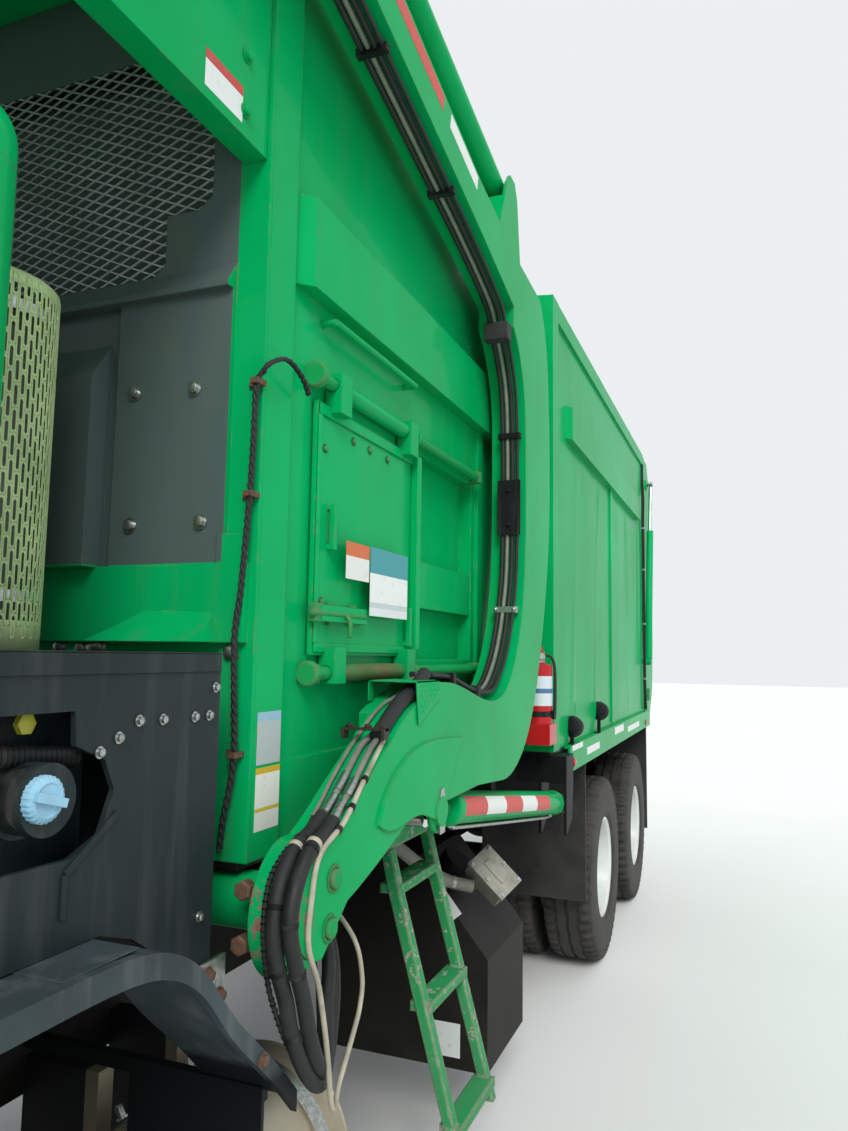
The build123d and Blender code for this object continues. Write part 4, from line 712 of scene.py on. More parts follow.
def treadedTyre(middle, station, kind, look):
    # Rings of points carried round the axle. Radius = profile - ribDepth in the grooves that run round
    # - blockDepth between shoulder blocks; the groove line sways by 4 mm x triangle(angle x blocks / 2)
    half = kind["width"] / 2
    crown = half - 0.03
    banks = {round(groove + d, 4) for groove in kind["grooves"] for d in (-0.009, -0.006, 0.006, 0.009)}
    across = sorted(banks | {-crown, crown, -crown + 0.02, crown - 0.02})
    wall = [(half - inwards, radius) for inwards, radius in look["wall"]]
    top = [look["radius"] - look["crownDrop"] * (a / half) ** 4 for a in across]
    x = np.array([-w for w, _ in wall] + across + [w for w, _ in reversed(wall)])
    radius = np.array([r for _, r in wall] + top + [r for _, r in reversed(wall)])
    angle = around(look["around"])
    share = (angle[None, :] * look["blocks"] / (2 * math.pi) + (x[:, None] > 0) * 0.5) % 1.0
    sway = np.abs(((angle * look["blocks"] / 2 / (2 * math.pi)) % 1.0) * 2 - 1) * 2 - 1
    depth = np.zeros((len(x), len(angle)))
    for groove in kind["grooves"]:
        depth[np.abs(x - groove) < 0.0065] = look["ribDepth"]
    shoulder = (np.abs(x) > kind["shoulder"])[:, None] & (radius > 0.476)[:, None]
    cut = shoulder & (share < kind["gap"]) & (depth == 0)
    r = radius[:, None] - np.where(cut, look["blockDepth"] * kind["depthShare"], depth)
    swaying = (radius > 0.514)[:, None] & (np.abs(x)[:, None] < crown - 0.02)
    xx = x[:, None] + np.where(swaying, look["sway"] * sway[None, :], 0.0)
    y, z = station + r * np.cos(angle), look["radius"] + r * np.sin(angle)
    points = np.stack((middle + xx + 0 * r, y, z), axis=-1)
    return points.reshape(-1, 3), gridFaces(len(x), look["around"], True)[:, ::-1].tolist()


hub = {  # nuts and cap screws as head width, head height, count and pitch radius, and the cap's profile
    "nuts": (0.032, 0.026, 10, 0.165), "screws": (0.016, 0.010, 8, 0.0625),
    "cap": ((0, 0.05), (0.012, 0.05), (0.02, 0.046), (0.028, 0.03), (0.031, 0.004)),
}


def boltRing(x, station, outward, size):
    width, height, count, pitch = size
    turn = around(count)
    ring = (np.full(count, x), station + pitch * np.cos(turn), tread["radius"] + pitch * np.sin(turn))
    return bolts(width, height, np.stack(ring, axis=1), (outward, 0, 0))


def hubDetail(x, capX, station, outward, look):
    # the wheel's nuts, and a domed oil cap proud of the hub's face with its own ring of small screws
    cap = revolved(look["cap"], (capX, station, tread["radius"]), (outward, 0, 0), 32)
    return [boltRing(x, station, outward, look["nuts"]), cap,
            boltRing(capX, station, outward, look["screws"])]


wheels = {  # x of the tyres' middle, the nuts' plane and the hub's face; the rear tyres lie "apart" of theirs
    "front": (1.03, 1.115, 1.179), "rear": (0.915, 0.929, 1.049), "apart": (-0.17, 0.17),
    "rearStations": ((1, 4.52), (2, 5.89)),
}


def makeWheels(look):
    for tag, side in leftAndRight:
        name = tag.lower()
        middle, nutsX, capX = (side * x for x in look["front"])
        tyre = treadedTyre(middle, 0, frontTread, tread)
        makePiece(f"frontTyre{tag}", [tyre], "tyre", f"front_wheel_{name}", smooth=30,
                  replaced=[f"front_tyre_{name}"])
        nuts = hubDetail(nutsX, capX, 0, side, hub)
        makePiece(f"frontNuts{tag}", nuts, "zinc", f"front_wheel_{name}")
        middle, nutsX, capX = look["rear"]
        for number, station in look["rearStations"]:
            body = f"rear_wheels_{number}_{name}"
            pair = [treadedTyre(side * (middle + d), station, rearTread, tread) for d in look["apart"]]
            makePiece(f"rearTyres{number}{tag}", pair, "tyre", body, smooth=30,
                      replaced=[f"rear_tyres_{number}_{name}"])
            nuts = hubDetail(side * nutsX, side * capX, station, side, hub)
            makePiece(f"rearNuts{number}{tag}", nuts, "zinc", body)


makeWheels(wheels)

print("stage 5: exhaust guard, screen and bolts")

guard = {
    "place": (0.700, 0.385), "radius": 0.150, "low": 1.772, "high": 2.480, "slot": (0.0065, 0.040),
    "columns": 72, "rows": 14, "thickness": 0.0015, "clamps": (1.86, 2.40),
    "foot": ((0.0, 0.0), (0.055, 0.0), (0.055, -0.002), (0.0, -0.002)),
    "rim": (  # height from the top edge and radius from the sheet's, round the rolled edge
        (-0.030, 0.0), (-0.006, -0.001), (0.0, -0.008), (0.0, -0.030), (-0.003, -0.030), (-0.004, -0.010),
        (-0.030, -0.003),
    ),
    "clamp": ((0, 0.0), (0.004, -0.0005), (0.018, -0.0005), (0.022, 0.0)),
    "muffler": ((0.0, 0.118), (0.02, 0.125), (0.60, 0.125), (0.66, 0.09), (0.69, 0.058)),
}


def perforatedGuard(look):
    # A rolled sheet: cells of eight quads between a square border and a long hole with rounded ends, every
    # other column half a pitch up. Angle and height = the cell's centre + share x half its size or the hole's
    columns, rows = look["columns"], look["rows"]
    x0, y0 = look["place"]
    low, high = look["low"] + 0.02, look["high"] - 0.03
    pitch = np.array((2 * math.pi / columns, (high - low) / rows))
    slot = (look["slot"][0] / 2 / look["radius"], look["slot"][1] / 2)
    square = np.array([(-1, -1), (0, -1), (1, -1), (1, 0), (1, 1), (0, 1), (-1, 1), (-1, 0)])
    hole = np.array([(-1, -0.8), (0, -1), (1, -0.8), (1, 0), (1, 0.8), (0, 1), (-1, 0.8), (-1, 0)])
    cell = np.vstack((square * pitch / 2, hole * slot))
    column, row = np.meshgrid(np.arange(columns), np.arange(rows), indexing="ij")
    centreZ = (low + (row + 0.5 + 0.5 * (column % 2)) * pitch[1]).ravel()
    angle = (column * pitch[0]).ravel()[:, None] + cell[None, :, 0]
    z = np.minimum(centreZ[:, None] + cell[None, :, 1], look["high"] - 0.012)
    points = np.stack((x0 + look["radius"] * np.cos(angle), y0 + look["radius"] * np.sin(angle), z), axis=-1)
    quad = np.array([[k, (k + 1) % 8, 8 + (k + 1) % 8, 8 + k] for k in range(8)])
    faces = (np.arange(columns * rows)[:, None, None] * 16 + quad[None]).reshape(-1, 4)
    return points.reshape(-1, 3), faces.tolist()


def makeGuard(look):
    def band(profile, z, sides):
        rings = [(along, look["radius"] + out) for along, out in profile]
        return revolved(rings, (*look["place"], z), (0, 0, 1), sides, False)

    shapes = [perforatedGuard(look), band(look["foot"], look["low"], 64), band(look["rim"], look["high"], 64)]
    thing = makePiece("perforatedGuard", shapes, "guard", smooth=50, replaced=["exhaust_guard"])
    thick = thing.modifiers.new("sheetThickness", "SOLIDIFY")
    thick.thickness = look["thickness"]
    thick.offset = -1.0
    muffler = revolved(look["muffler"], (*look["place"], look["low"] + 0.001), (0, 0, 1), 40)
    makePiece("muffler", [muffler], "exhaust")
    clamps = [band(look["clamp"], z, 48) for z in look["clamps"]]
    makePiece("guardClamps", clamps, "zinc")


makeGuard(guard)

screen = {
    "across": (-0.972, 0.972), "up": (2.638, 3.202), "station": 0.757, "cell": (0.062, 0.027),
    "strand": (0.004, 0.0032),
}


def diamondScreen(look):
    # Expanded mesh: two families of strands that cross, each a thin flat bar cut off at the window's bounds
    (x0, x1), (z0, z1) = look["across"], look["up"]
    slope = look["cell"][1] / look["cell"][0]
    reach = (z1 - z0) / slope
    shapes = []
    for way in (1, -1):
        for start in np.arange(x0 - reach, x1 + reach, look["cell"][0]):
            low, high = sorted((start, start + way * reach))
            ends = [(x, look["station"] + 0.001 * way, z0 + (x - start) * slope * way)
                    for x in (max(x0, low), min(x1, high))]
            if ends[1][0] - ends[0][0] > 0.01:
                shapes.append(bar(*ends, *look["strand"]))
    return shapes


makePiece("diamondScreen", diamondScreen(screen), "screen", replaced=["hopper_screen"])

boltRows = {  # head width, head height, finish, slot, the way they face on the left, and their places
    "hopperFrontBolts": (0.022, 0.012, "zinc", "black_chassis_paint", (0, -1, 0), [
        *((x * side, 0.738, z) for side in (1, -1)
          for x, z in ((0.790, 2.36), (0.955, 2.355), (0.795, 2.055), (0.985, 2.055))),
        (0.60, 0.752, 1.782), (0.665, 0.752, 1.779), (0.70, 0.752, 1.779), (0.715, 0.752, 1.7815),
        (1.065, 0.752, 1.775),
    ]),
    "sidePanelBolts": (0.012, 0.008, "zinc", "black_plastic", (1, 0, 0), [
        (1.151, y, z) for y, z in (
            (0.583, 1.709), (0.375, 1.661), (0.435, 1.659), (0.523, 1.658), (0.566, 1.658), (0.329, 1.637),
            (0.288, 1.618), (0.075, 1.705), (0.56, 1.30),
        )
    ]),
    "fenderBolts": (0.017, 0.010, "rustySteel", "black_plastic", (1, 0, 0), [
        (1.251, 0.63, 1.043), (-1.251, 0.63, 1.043), (1.251, -0.3, 1.283), (-1.251, -0.3, 1.283),
    ]),
    "canopyBolts": (0.020, 0.011, "green", "green_enamel", (1, 0, 0), [
        (1.113, 0.05, 2.93), (1.113, 0.09, 2.93), (1.113, 0.66, 2.925), (1.113, 0.66, 3.05),
        (1.113, -0.30, 2.93), (-1.113, 0.05, 2.93), (-1.113, 0.66, 2.925), (-1.113, -0.30, 2.93),
    ]),
}


def makeBolts(rows):
    for name, (width, height, look, slot, (x, y, z), places) in rows.items():
        ways = [(np.sign(place[0]) * x, y, z) for place in places]
        makePiece(name, [bolts(width, height, places, ways)], look)


makeBolts(boltRows)

print("stage 6: hoses, cable and their clamps")

# Each line: radius, finish, body or "across" for one that runs between both and is left unattached, and route
# as (x, station, height)
hoseLines = {
    "upperBundle": (0.019, "hose", "lift_arms", [
        (1.255, 1.392, 1.724), (1.268, 1.274, 1.681), (1.266, 1.21, 1.660), (1.268, 1.148, 1.634),
        (1.268, 1.095, 1.603), (1.266, 1.062, 1.583),
    ]),
    "greyLineInner": (0.008, "greyHose", "lift_arms", [
        (1.250, 1.085, 1.588), (1.234, 1.055, 1.566), (1.234, 1.017, 1.541), (1.241, 0.938, 1.493),
        (1.243, 0.891, 1.462), (1.245, 0.845, 1.435),
    ]),
    "greyLineOuter": (0.008, "greyHose", "lift_arms", [
        (1.270, 1.085, 1.588), (1.262, 1.055, 1.566), (1.264, 1.002, 1.532), (1.270, 0.927, 1.484),
        (1.272, 0.876, 1.454), (1.275, 0.831, 1.428),
    ]),
    "innerSleeve": (0.0155, "hose", "across", [
        (1.245, 0.845, 1.437), (1.248, 0.790, 1.415), (1.254, 0.711, 1.392), (1.256, 0.664, 1.340),
        (1.257, 0.645, 1.270), (1.260, 0.655, 1.200), (1.266, 0.680, 1.130), (1.270, 0.700, 1.060),
        (1.272, 0.745, 0.985), (1.268, 0.802, 0.930), (1.245, 0.880, 0.905), (1.215, 0.965, 0.945),
        (1.190, 1.025, 1.030), (1.165, 1.050, 1.110), (1.120, 1.065, 1.180), (1.060, 1.080, 1.215),
    ]),
    "outerSleeve": (0.0155, "hose", "across", [
        (1.275, 0.835, 1.430), (1.282, 0.780, 1.412), (1.287, 0.722, 1.398), (1.289, 0.668, 1.345),
        (1.289, 0.648, 1.277), (1.289, 0.670, 1.205), (1.289, 0.705, 1.130), (1.289, 0.735, 1.050),
        (1.286, 0.775, 0.985), (1.272, 0.835, 0.945), (1.240, 0.900, 0.960), (1.215, 0.945, 1.030),
        (1.195, 0.985, 1.100), (1.160, 1.010, 1.165), (1.110, 1.025, 1.205), (1.055, 1.030, 1.225),
    ]),
    "beigeLine": (0.0056, "paleHose", "across", [
        (1.279, 1.083, 1.580), (1.290, 0.944, 1.495), (1.299, 0.838, 1.430), (1.300, 0.735, 1.385),
        (1.300, 0.705, 1.300), (1.300, 0.700, 1.225), (1.300, 0.740, 1.150), (1.300, 0.765, 1.080),
        (1.300, 0.790, 0.990), (1.298, 0.812, 0.900), (1.290, 0.845, 0.868), (1.270, 0.900, 0.885),
        (1.245, 1.010, 0.930), (1.225, 1.090, 0.965), (1.215, 1.120, 1.020), (1.190, 1.125, 1.100),
        (1.120, 1.120, 1.180), (1.060, 1.120, 1.215),
    ]),
    "wrappedLine": (0.0048, "hose", "across", [
        (1.222, 0.845, 1.432), (1.224, 0.815, 1.414), (1.226, 0.738, 1.390), (1.226, 0.676, 1.345),
        (1.228, 0.655, 1.271), (1.232, 0.660, 1.199), (1.240, 0.672, 1.132), (1.262, 0.705, 1.036),
        (1.282, 0.760, 0.965), (1.275, 0.830, 0.915), (1.220, 0.905, 0.905), (1.180, 0.975, 0.980),
        (1.150, 1.000, 1.090), (1.100, 1.005, 1.170), (1.050, 1.000, 1.215),
    ]),
    "thinUpperLine": (0.0050, "greyHose", "lift_arms", [
        (1.225, 1.392, 1.712), (1.222, 1.276, 1.668), (1.211, 1.224, 1.650), (1.211, 1.152, 1.622),
        (1.209, 1.100, 1.591), (1.206, 1.048, 1.558), (1.212, 0.954, 1.503), (1.218, 0.891, 1.462),
        (1.222, 0.845, 1.434),
    ]),
}
hoseStep = 0.012  # between rings of a hose


def makeHoses(lines):
    for name, (radius, look, body, route) in lines.items():
        crosses = body == "across"
        shape = tube(rounded(route, hoseStep), radius, 14)
        thing = makePiece(name, [shape], look, None if crosses else body, smooth=60)
        if crosses:
            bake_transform(thing)


makeHoses(hoseLines)

collars = {  # line held, radius, length, finish, and shares of its route where a collar sits
    "sleeveTies": ("innerSleeve", 0.0172, 0.010, "trim", (0.085, 0.20, 0.30, 0.42)),
    "outerSleeveTies": ("outerSleeve", 0.0172, 0.010, "trim", (0.10, 0.24, 0.33)),
    "sleeveMouthInner": ("innerSleeve", 0.0166, 0.012, "paleHose", (0.105,)),
    "sleeveMouthOuter": ("outerSleeve", 0.0166, 0.012, "paleHose", (0.085,)),
    "couplingInner": ("greyLineInner", 0.0118, 0.055, "zinc", (0.66, 0.93)),
    "couplingOuter": ("greyLineOuter", 0.0118, 0.055, "zinc", (0.72, 0.95)),
    "beigeTies": ("beigeLine", 0.0085, 0.012, "trim", (0.10, 0.165, 0.215)),
    "wrap": ("wrappedLine", 0.0062, 0.003, "trim", tuple(np.linspace(0.04, 0.44, 46))),
}


def makeCollars(rows, lines):
    for name, (line, radius, length, look, shares) in rows.items():
        route = rounded(lines[line][3], hoseStep)
        half, edge = length / 2, length * 0.12
        profile = [(-half, radius * 0.93), (-half + edge, radius), (half - edge, radius),
                   (half, radius * 0.93)]
        shapes = []
        for share in shares:
            i = int(share * (len(route) - 2))
            shapes.append(revolved(profile, route[i], route[i + 1] - route[i], 16))
        makePiece(name, shapes, look, "lift_arms", smooth=40)


makeCollars(collars, hoseLines)

finish["darkBracket"] = bareMetal("sootedBracketSteel", {
    **metalBase, "colour": "#3a3129", "oxide": "#2a241f", "cloudMm": 12, "spotMm": 8, "rusted": 0.4,
    "metallic": 0.3, "roughness": 0.6,
})

armFittings = {
    "bridge": (  # bounds of the plate that spans the hose bundle, and of its two feet
        ((1.186, 1.298), (1.040, 1.062), (1.598, 1.604)), ((1.186, 1.194), (1.034, 1.062), (1.578, 1.604)),
        ((1.290, 1.298), (1.034, 1.062), (1.578, 1.604)),
    ),
    "bridgeHeads": [(1.20, 1.052, 1.604), (1.248, 1.052, 1.604), (1.286, 1.052, 1.604)],
    "pivotOuter": [(1.2955, 0.806, 1.325), (1.2955, 0.792, 1.232)],
    "pivotRim": [(1.168, 0.698, 1.318), (1.168, 0.692, 1.218)],
    "pivotHeadWidth": 0.036,
}


def makeArmFittings(look):
    heads = bolts(0.014, 0.008, look["bridgeHeads"], (0, -0.3, 1))
    bridge = [boxed(*bounds) for bounds in look["bridge"]] + [heads]
    makePiece("hoseBridge", bridge, "darkBracket", "lift_arms", bevel=0.8)
    outer = bolts(look["pivotHeadWidth"], 0.010, look["pivotOuter"], (1, 0, 0))
    makePiece("pivotBoltsOuter", onBoth([outer]), "greenWorn", "lift_arms", bevel=0.8)
    rim = bolts(look["pivotHeadWidth"], 0.030, look["pivotRim"], (0, -1, 0.05), False)
    makePiece("pivotBoltsRim", onBoth([rim]), "rustySteel", "lift_arms", bevel=0.8)


makeArmFittings(armFittings)

cornerCable = {
    "radius": 0.0075, "turnsPerMetre": 26,
    "route": [
        (1.148, 0.905, 2.372), (1.156, 0.868, 2.392), (1.158, 0.815, 2.412), (1.156, 0.775, 2.412),
        (1.150, 0.728, 2.385), (1.137, 0.728, 2.370), (1.122, 0.728, 2.345), (1.119, 0.728, 2.22),
        (1.115, 0.728, 2.11), (1.108, 0.728, 2.0), (1.101, 0.728, 1.90), (1.093, 0.724, 1.81),
        (1.096, 0.726, 1.69), (1.100, 0.728, 1.577), (1.094, 0.728, 1.51), (1.080, 0.728, 1.44),
        (1.068, 0.735, 1.37),
    ],
    "clips": ((1.121, 2.352), (1.114, 2.108), (1.098, 1.566)),
    "clip": (  # a saddle and its foot: reach from the clip's x, bounds on station, half height
        ((-0.010, 0.010), (0.718, 0.7527), 0.006), ((-0.032, -0.008), (0.749, 0.7525), 0.008),
    ),
    "heads": [(1.098, 0.749, 2.352), (1.091, 0.749, 2.108), (1.075, 0.749, 1.566), (1.079, 0.752, 1.767)],
}


def makeCable(look):
    # Two twisted cores: each circles the route, offset = 0.45 radius x (cos, 0.8 sin) of the turns so far
    route = rounded(look["route"], 0.008)
    travel = np.concatenate(([0], np.cumsum(np.linalg.norm(np.diff(route, axis=0), axis=1))))
    shapes = []
    for phase in (0, math.pi):
        turn = travel * 2 * math.pi * look["turnsPerMetre"] + phase
        offset = np.stack((np.cos(turn), np.sin(turn) * 0.8, 0 * turn), axis=1) * look["radius"] * 0.45
        shapes.append(tube(route + offset, look["radius"] * 0.62, 8))
    makePiece("cornerCable", shapes, "hose", smooth=60)
    clips = []
    for x, z in look["clips"]:
        for (near, far), station, half in look["clip"]:
            clips.append(boxed((x + near, x + far), station, (z - half, z + half)))
    heads = bolts(0.010, 0.006, look["heads"], (0, -1, 0))
    makePiece("cableClips", clips + [heads], "rustySteel", bevel=0.8)


makeCable(cornerCable)

print("stage 7: step, labels, tapes and fittings of the hopper")

armStep = {
    "across": (1.163, 1.3005), "station": (1.228, 1.394), "height": 1.708, "thick": 0.003,
    "lug": (0.020, 0.006, 0.0014), "pitch": 0.0135, "border": (0.010, 0.006),
    "flange": ((1.224, 1.708), (1.244, 1.597), (1.394, 1.660), (1.394, 1.708)),
    "flangeSlope": 0.42, "flangeFoot": 1.606, "flangeStart": 0.012,
    "feet": (((1.163, 1.167), (1.228, 1.258), (1.655, 1.708)),
             ((1.163, 1.167), (1.364, 1.394), (1.690, 1.708))),
}


def treadLug(size, quarter):
    # a low lens-shaped rib: half length, half width and height, lying along one or the other diagonal
    long, wide, high = size[0] / 2, size[1] / 2, size[2]
    tips = [(-long, 0, 0), (0, -wide, 0), (long, 0, 0), (0, wide, 0), (-long * 0.4, 0, high),
            (long * 0.4, 0, high)]
    x, y, z = np.array(tips).T
    c, s = math.cos(math.pi / 4), math.sin(math.pi / 4) * (-1 if quarter else 1)
    spun = np.stack((x * c - y * s, x * s + y * c, z), axis=1)
    return spun, [[0, 1, 4], [1, 5, 4], [1, 2, 5], [2, 3, 5], [3, 4, 5], [3, 0, 4]]


def makeStep(look):
    # Tread plate: lugs over the step's top, and over its outer flange down to the flange's slanted edge
    (x0, x1), (y0, y1), z, t = look["across"], look["station"], look["height"], look["thick"]
    before, after = look["border"]
    shapes = [boxed((x0, x1), (y0, y1), (z - t, z)), sheetOf(look["flange"], 0, x1 - t, x1)]
    for i, y in enumerate(np.arange(y0 + before, y1 - after, look["pitch"])):
        for j, x in enumerate(np.arange(x0 + before, x1 - after, look["pitch"])):
            points, faces = treadLug(look["lug"], (i + j) % 2 == 0)
            shapes.append((points + (x, y, z), faces))
        for j, height in enumerate(np.arange(z - before, look["flangeFoot"], -look["pitch"])):
            lowest = look["flangeFoot"] + (y - y0) * look["flangeSlope"]
            if height >= lowest and y >= y0 + look["flangeStart"]:
                points, faces = treadLug(look["lug"], (i + j) % 2 == 0)
                shapes.append((points[:, [2, 0, 1]] + (x1, y, height), faces))
    makePiece("armStep", shapes, "green", "lift_arms", smooth=20)
    makePiece("armStepFeet", [boxed(*foot) for foot in look["feet"]], "green", "lift_arms", smooth=20)


makeStep(armStep)

finish.update({
    "orangeLabel": vinylFilm("orangeBandVinyl", [(0.0, "#d9d9d2"), (0.62, "#c8622a")]),
    "tealLabel": vinylFilm("tealBandVinyl",
                           [(0.0, "#d5dbd8"), (0.12, "#b9c6c4"), (0.2, "#dfe2dd"), (0.62, "#2f8f93")]),
    "yellowLabel": vinylFilm("yellowBandVinyl",
                             [(0.0, "#dddcd2"), (0.30, "#c9b23a"), (0.36, "#dddcd2"), (0.90, "#c9a52a")]),
    "blueLabel": vinylFilm("blueBandVinyl", [(0.0, "#cfd6da"), (0.7, "#4f87b8")]),
    "silverLabel": vinylFilm("silverVinyl", [(0.0, "#a9b3b0"), (0.82, "#8db4c4")]),
    "whiteLabel": vinylFilm("whiteVinyl", [(0.0, "#d8dbd6")]),
    "decal": vinylFilm("canopyDecal", [(0.0, "#d6dcd8"), (0.72, "#b9413a")]),
})
plates = {  # film, x of the plate under it, bounds on station and height, thickness in metres
    "silverPlate": ("silverLabel", 1.1225, (0.776, 0.869), (1.540, 1.650), 0.001),
    "yellowPlate": ("yellowLabel", 1.1225, (0.776, 0.871), (1.404, 1.534), 0.0006),
    "orangePlate": ("orangeLabel", 1.1465, (1.119, 1.255), (1.964, 2.059), 0.0006),
    "tealPlate": ("tealLabel", 1.1465, (1.262, 1.519), (1.877, 2.062), 0.0006),
    "canopyDecal": ("decal", 1.1125, (0.520, 0.650), (2.892, 2.972), 0.0006),
    "bluePlate": ("blueLabel", 1.1145, (2.352, 2.560), (1.600, 1.675), 0.0006),
}


def makePlates(rows):
    # thin cards on the left side, each with its own UV: U along the truck, V upwards
    for name, (look, x, y, z, thick) in rows.items():
        points, faces = boxed((x, x + thick), y, z)
        uv = np.stack(((points[:, 1] - y[0]) / (y[1] - y[0]), (points[:, 2] - z[0]) / (z[1] - z[0])), axis=1)
        makePiece(name, [(points, faces)], look, smooth=20, uv=uv)


makePlates(plates)

print("stage 8: riser hoses, tapes and lift cylinder dress")

riserEdge = [  # station and height along the hollow of the lift arm, from the step up to the arm's beam
    (1.40, 1.722), (1.56, 1.712), (1.75, 1.674), (1.92, 1.656), (2.04, 1.690), (2.165, 1.812), (2.258, 2.010),
    (2.288, 2.200), (2.290, 2.500), (2.270, 2.745), (2.205, 2.878), (2.118, 2.972), (2.060, 3.040),
    (1.780, 3.122), (1.400, 3.203), (0.950, 3.297), (0.400, 3.414), (-0.300, 3.560), (-1.050, 3.718),
]
riser = {
    "hoses": ((1.214, 0.0085, "hose"), (1.232, 0.007, "greyHose"), (1.251, 0.0085, "hose"),
              (1.270, 0.0065, "hose")),
    "straps": (  # bounds on station and height
        ((2.272, 2.299), (2.600, 2.622)), ((1.790, 1.812), (1.640, 1.682)), ((1.550, 1.572), (1.690, 1.724)),
        ((1.500, 1.522), (3.166, 3.186)), ((1.000, 1.022), (3.270, 3.290)), ((0.400, 0.422), (3.398, 3.418)),
        ((-0.300, -0.278), (3.544, 3.564)),
    ),
    "strapAcross": (1.198, 1.284),
    "guard": ((1.196, 1.286), (2.274, 2.279), (2.230, 2.440)),
    "guardHeads": [(1.240, 2.274, 2.270), (1.240, 2.274, 2.400)],
    "bridge": ((1.198, 1.284), (2.222, 2.262), (1.935, 1.957)),
    "bridgeHeads": [(1.206, 2.222, 1.946), (1.276, 2.222, 1.946)],
    "pad": ((1.196, 1.288), (2.085, 2.135), (2.925, 2.990)),
}


def makeRiser(edge, look):
    straps = [boxed(look["strapAcross"], *bounds) for bounds in look["straps"]]
    clamps = straps + [boxed(*look["guard"]), bolts(0.014, 0.009, look["guardHeads"], (0, -1, 0))]
    bridge = [boxed(*look["bridge"]), bolts(0.012, 0.008, look["bridgeHeads"], (0, -1, 0))]
    for tag, side in leftAndRight:
        for n, (x, radius, tone) in enumerate(look["hoses"]):
            hose = tube(rounded([(x, y, z) for y, z in edge]), radius, 10)
            makePiece(f"riserHose{tag}{n}", onSide(side, [hose]), tone, "lift_arms", smooth=60)
        makePiece(f"riserClamps{tag}", onSide(side, clamps), "trim", "lift_arms", bevel=0.8)
        makePiece(f"riserBridge{tag}", onSide(side, bridge), "zinc", "lift_arms", bevel=0.8)
        makePiece(f"riserRubber{tag}", onSide(side, [boxed(*look["pad"])]), "rubber", "lift_arms", bevel=3.0)


makeRiser(riserEdge, riser)

finish["barrelTape"] = vinylFilm("redAndWhiteBarrelTape", [
    (0.0, "#c0392f"), (0.2, "#d9dad4"), (0.4, "#c0392f"), (0.6, "#d9dad4"), (0.8, "#c0392f"),
], "X")
finish["redTape"] = vinylFilm("redTape", [(0.0, "#c0392f")], "X")
beamTape = {
    "bands": (  # film, and start and end along the beam's outer face as (station, height)
        ("redTape", (-1.05, 3.872), (-0.55, 3.768)), ("whiteLabel", (-0.55, 3.768), (-0.10, 3.674)),
        ("redTape", (-0.10, 3.674), (0.35, 3.580)), ("whiteLabel", (0.45, 3.560), (0.90, 3.466)),
        ("redTape", (0.98, 3.449), (1.38, 3.366)), ("whiteLabel", (1.44, 3.353), (1.70, 3.299)),
    ),
    "x": 1.2953, "width": 0.05, "thick": 0.0008,
}


def makeTapes(look):
    uv = [(0, 0)] * 4 + [(1, 0)] * 4
    for n, (film, start, end) in enumerate(look["bands"]):
        strip = bar((look["x"], *start), (look["x"], *end), look["thick"], look["width"])
        for tag, side in leftAndRight:
            makePiece(f"beamTape{n}{tag}", onSide(side, [strip]), film, "lift_arms", smooth=30, uv=uv)


makeTapes(beamTape)

liftBarrel = {  # distances run along the barrel from its base pin towards the rod's eye
    "eye": (1.410, 1.360), "base": (3.120, 1.115), "x": 1.2275, "radius": 0.050, "tape": (0.32, 1.44),
    "tapeTurn": (-0.45, 0.75), "tapeGrid": (24, 10), "tapeThick": 0.0008, "gland": 1.50, "cap": 0.05,
    "glandProfile": ((-0.055, 0.050), (-0.052, 0.0545), (-0.006, 0.0545), (0.0, 0.050), (0.004, 0.036)),
    "capProfile": ((0.0, 0.0505), (0.002, 0.0535), (0.030, 0.0535), (0.032, 0.0505)),
    "pipe": ((0.10, 0.052), (0.16, 0.064), (1.30, 0.064), (1.40, 0.060), (1.43, 0.050)),
    "union": ((0, 0.014), (0.016, 0.014), (0.018, 0.010)),
}


def makeBarrelDress(look):
    # Tape wound half round the lift barrels, a gland nut at the rod's end, and feed pipes with banjo unions
    eye, base = np.array(look["eye"]), np.array(look["base"])
    way = (eye - base) / np.linalg.norm(eye - base)
    start, end = (base + way * s for s in look["tape"])
    length = np.linalg.norm(end - start)
    along = np.array((0, *(end - start))) / length
    rows, columns = look["tapeGrid"]
    turn = np.linspace(*look["tapeTurn"], columns)
    stations = np.linspace(0, length, rows)
    uv = np.stack(np.meshgrid(stations / length, np.linspace(0, 1, columns), indexing="ij"),
                  axis=-1).reshape(-1, 2)
    faces = gridFaces(rows, columns)
    for tag, side in leftAndRight:
        x = look["x"] * side
        across = np.array((side, 0.0, 0.0))
        up = np.cross(across, along) * side
        up = up if up[2] > 0 else -up
        ring = np.cos(turn)[:, None] * across + np.sin(turn)[:, None] * up
        spine = np.array((x, *start)) + stations[:, None, None] * along
        points = spine + (look["radius"] + look["tapeThick"]) * ring[None]
        tape = (points.reshape(-1, 3), (faces if side < 0 else faces[:, ::-1]).tolist())
        makePiece(f"barrelTape{tag}", [tape], "barrelTape", "lift_barrels", smooth=60, uv=uv)
        gland = revolved(look["glandProfile"], (x, *(base + way * look["gland"])), (0, *way), 32)
        cap = revolved(look["capProfile"], (x, *(base + way * look["cap"])), (0, *way), 32)
        makePiece(f"barrelRings{tag}", [gland, cap], "green", "lift_barrels")
        x = x - side * 0.01
        pipe = [(*(base + way * s), below) for s, below in look["pipe"]]
        route = rounded([(x, y + below * 0.14, z - below) for y, z, below in pipe], 0.03)
        unions = [revolved(look["union"], (x, y + 0.006, z - 0.062), (0, 0.14, 1), 12)
                  for y, z, _ in (pipe[0], pipe[4])]
        makePiece(f"barrelPipe{tag}", [tube(route, 0.007, 8)] + unions, "zinc", "lift_barrels", smooth=50)


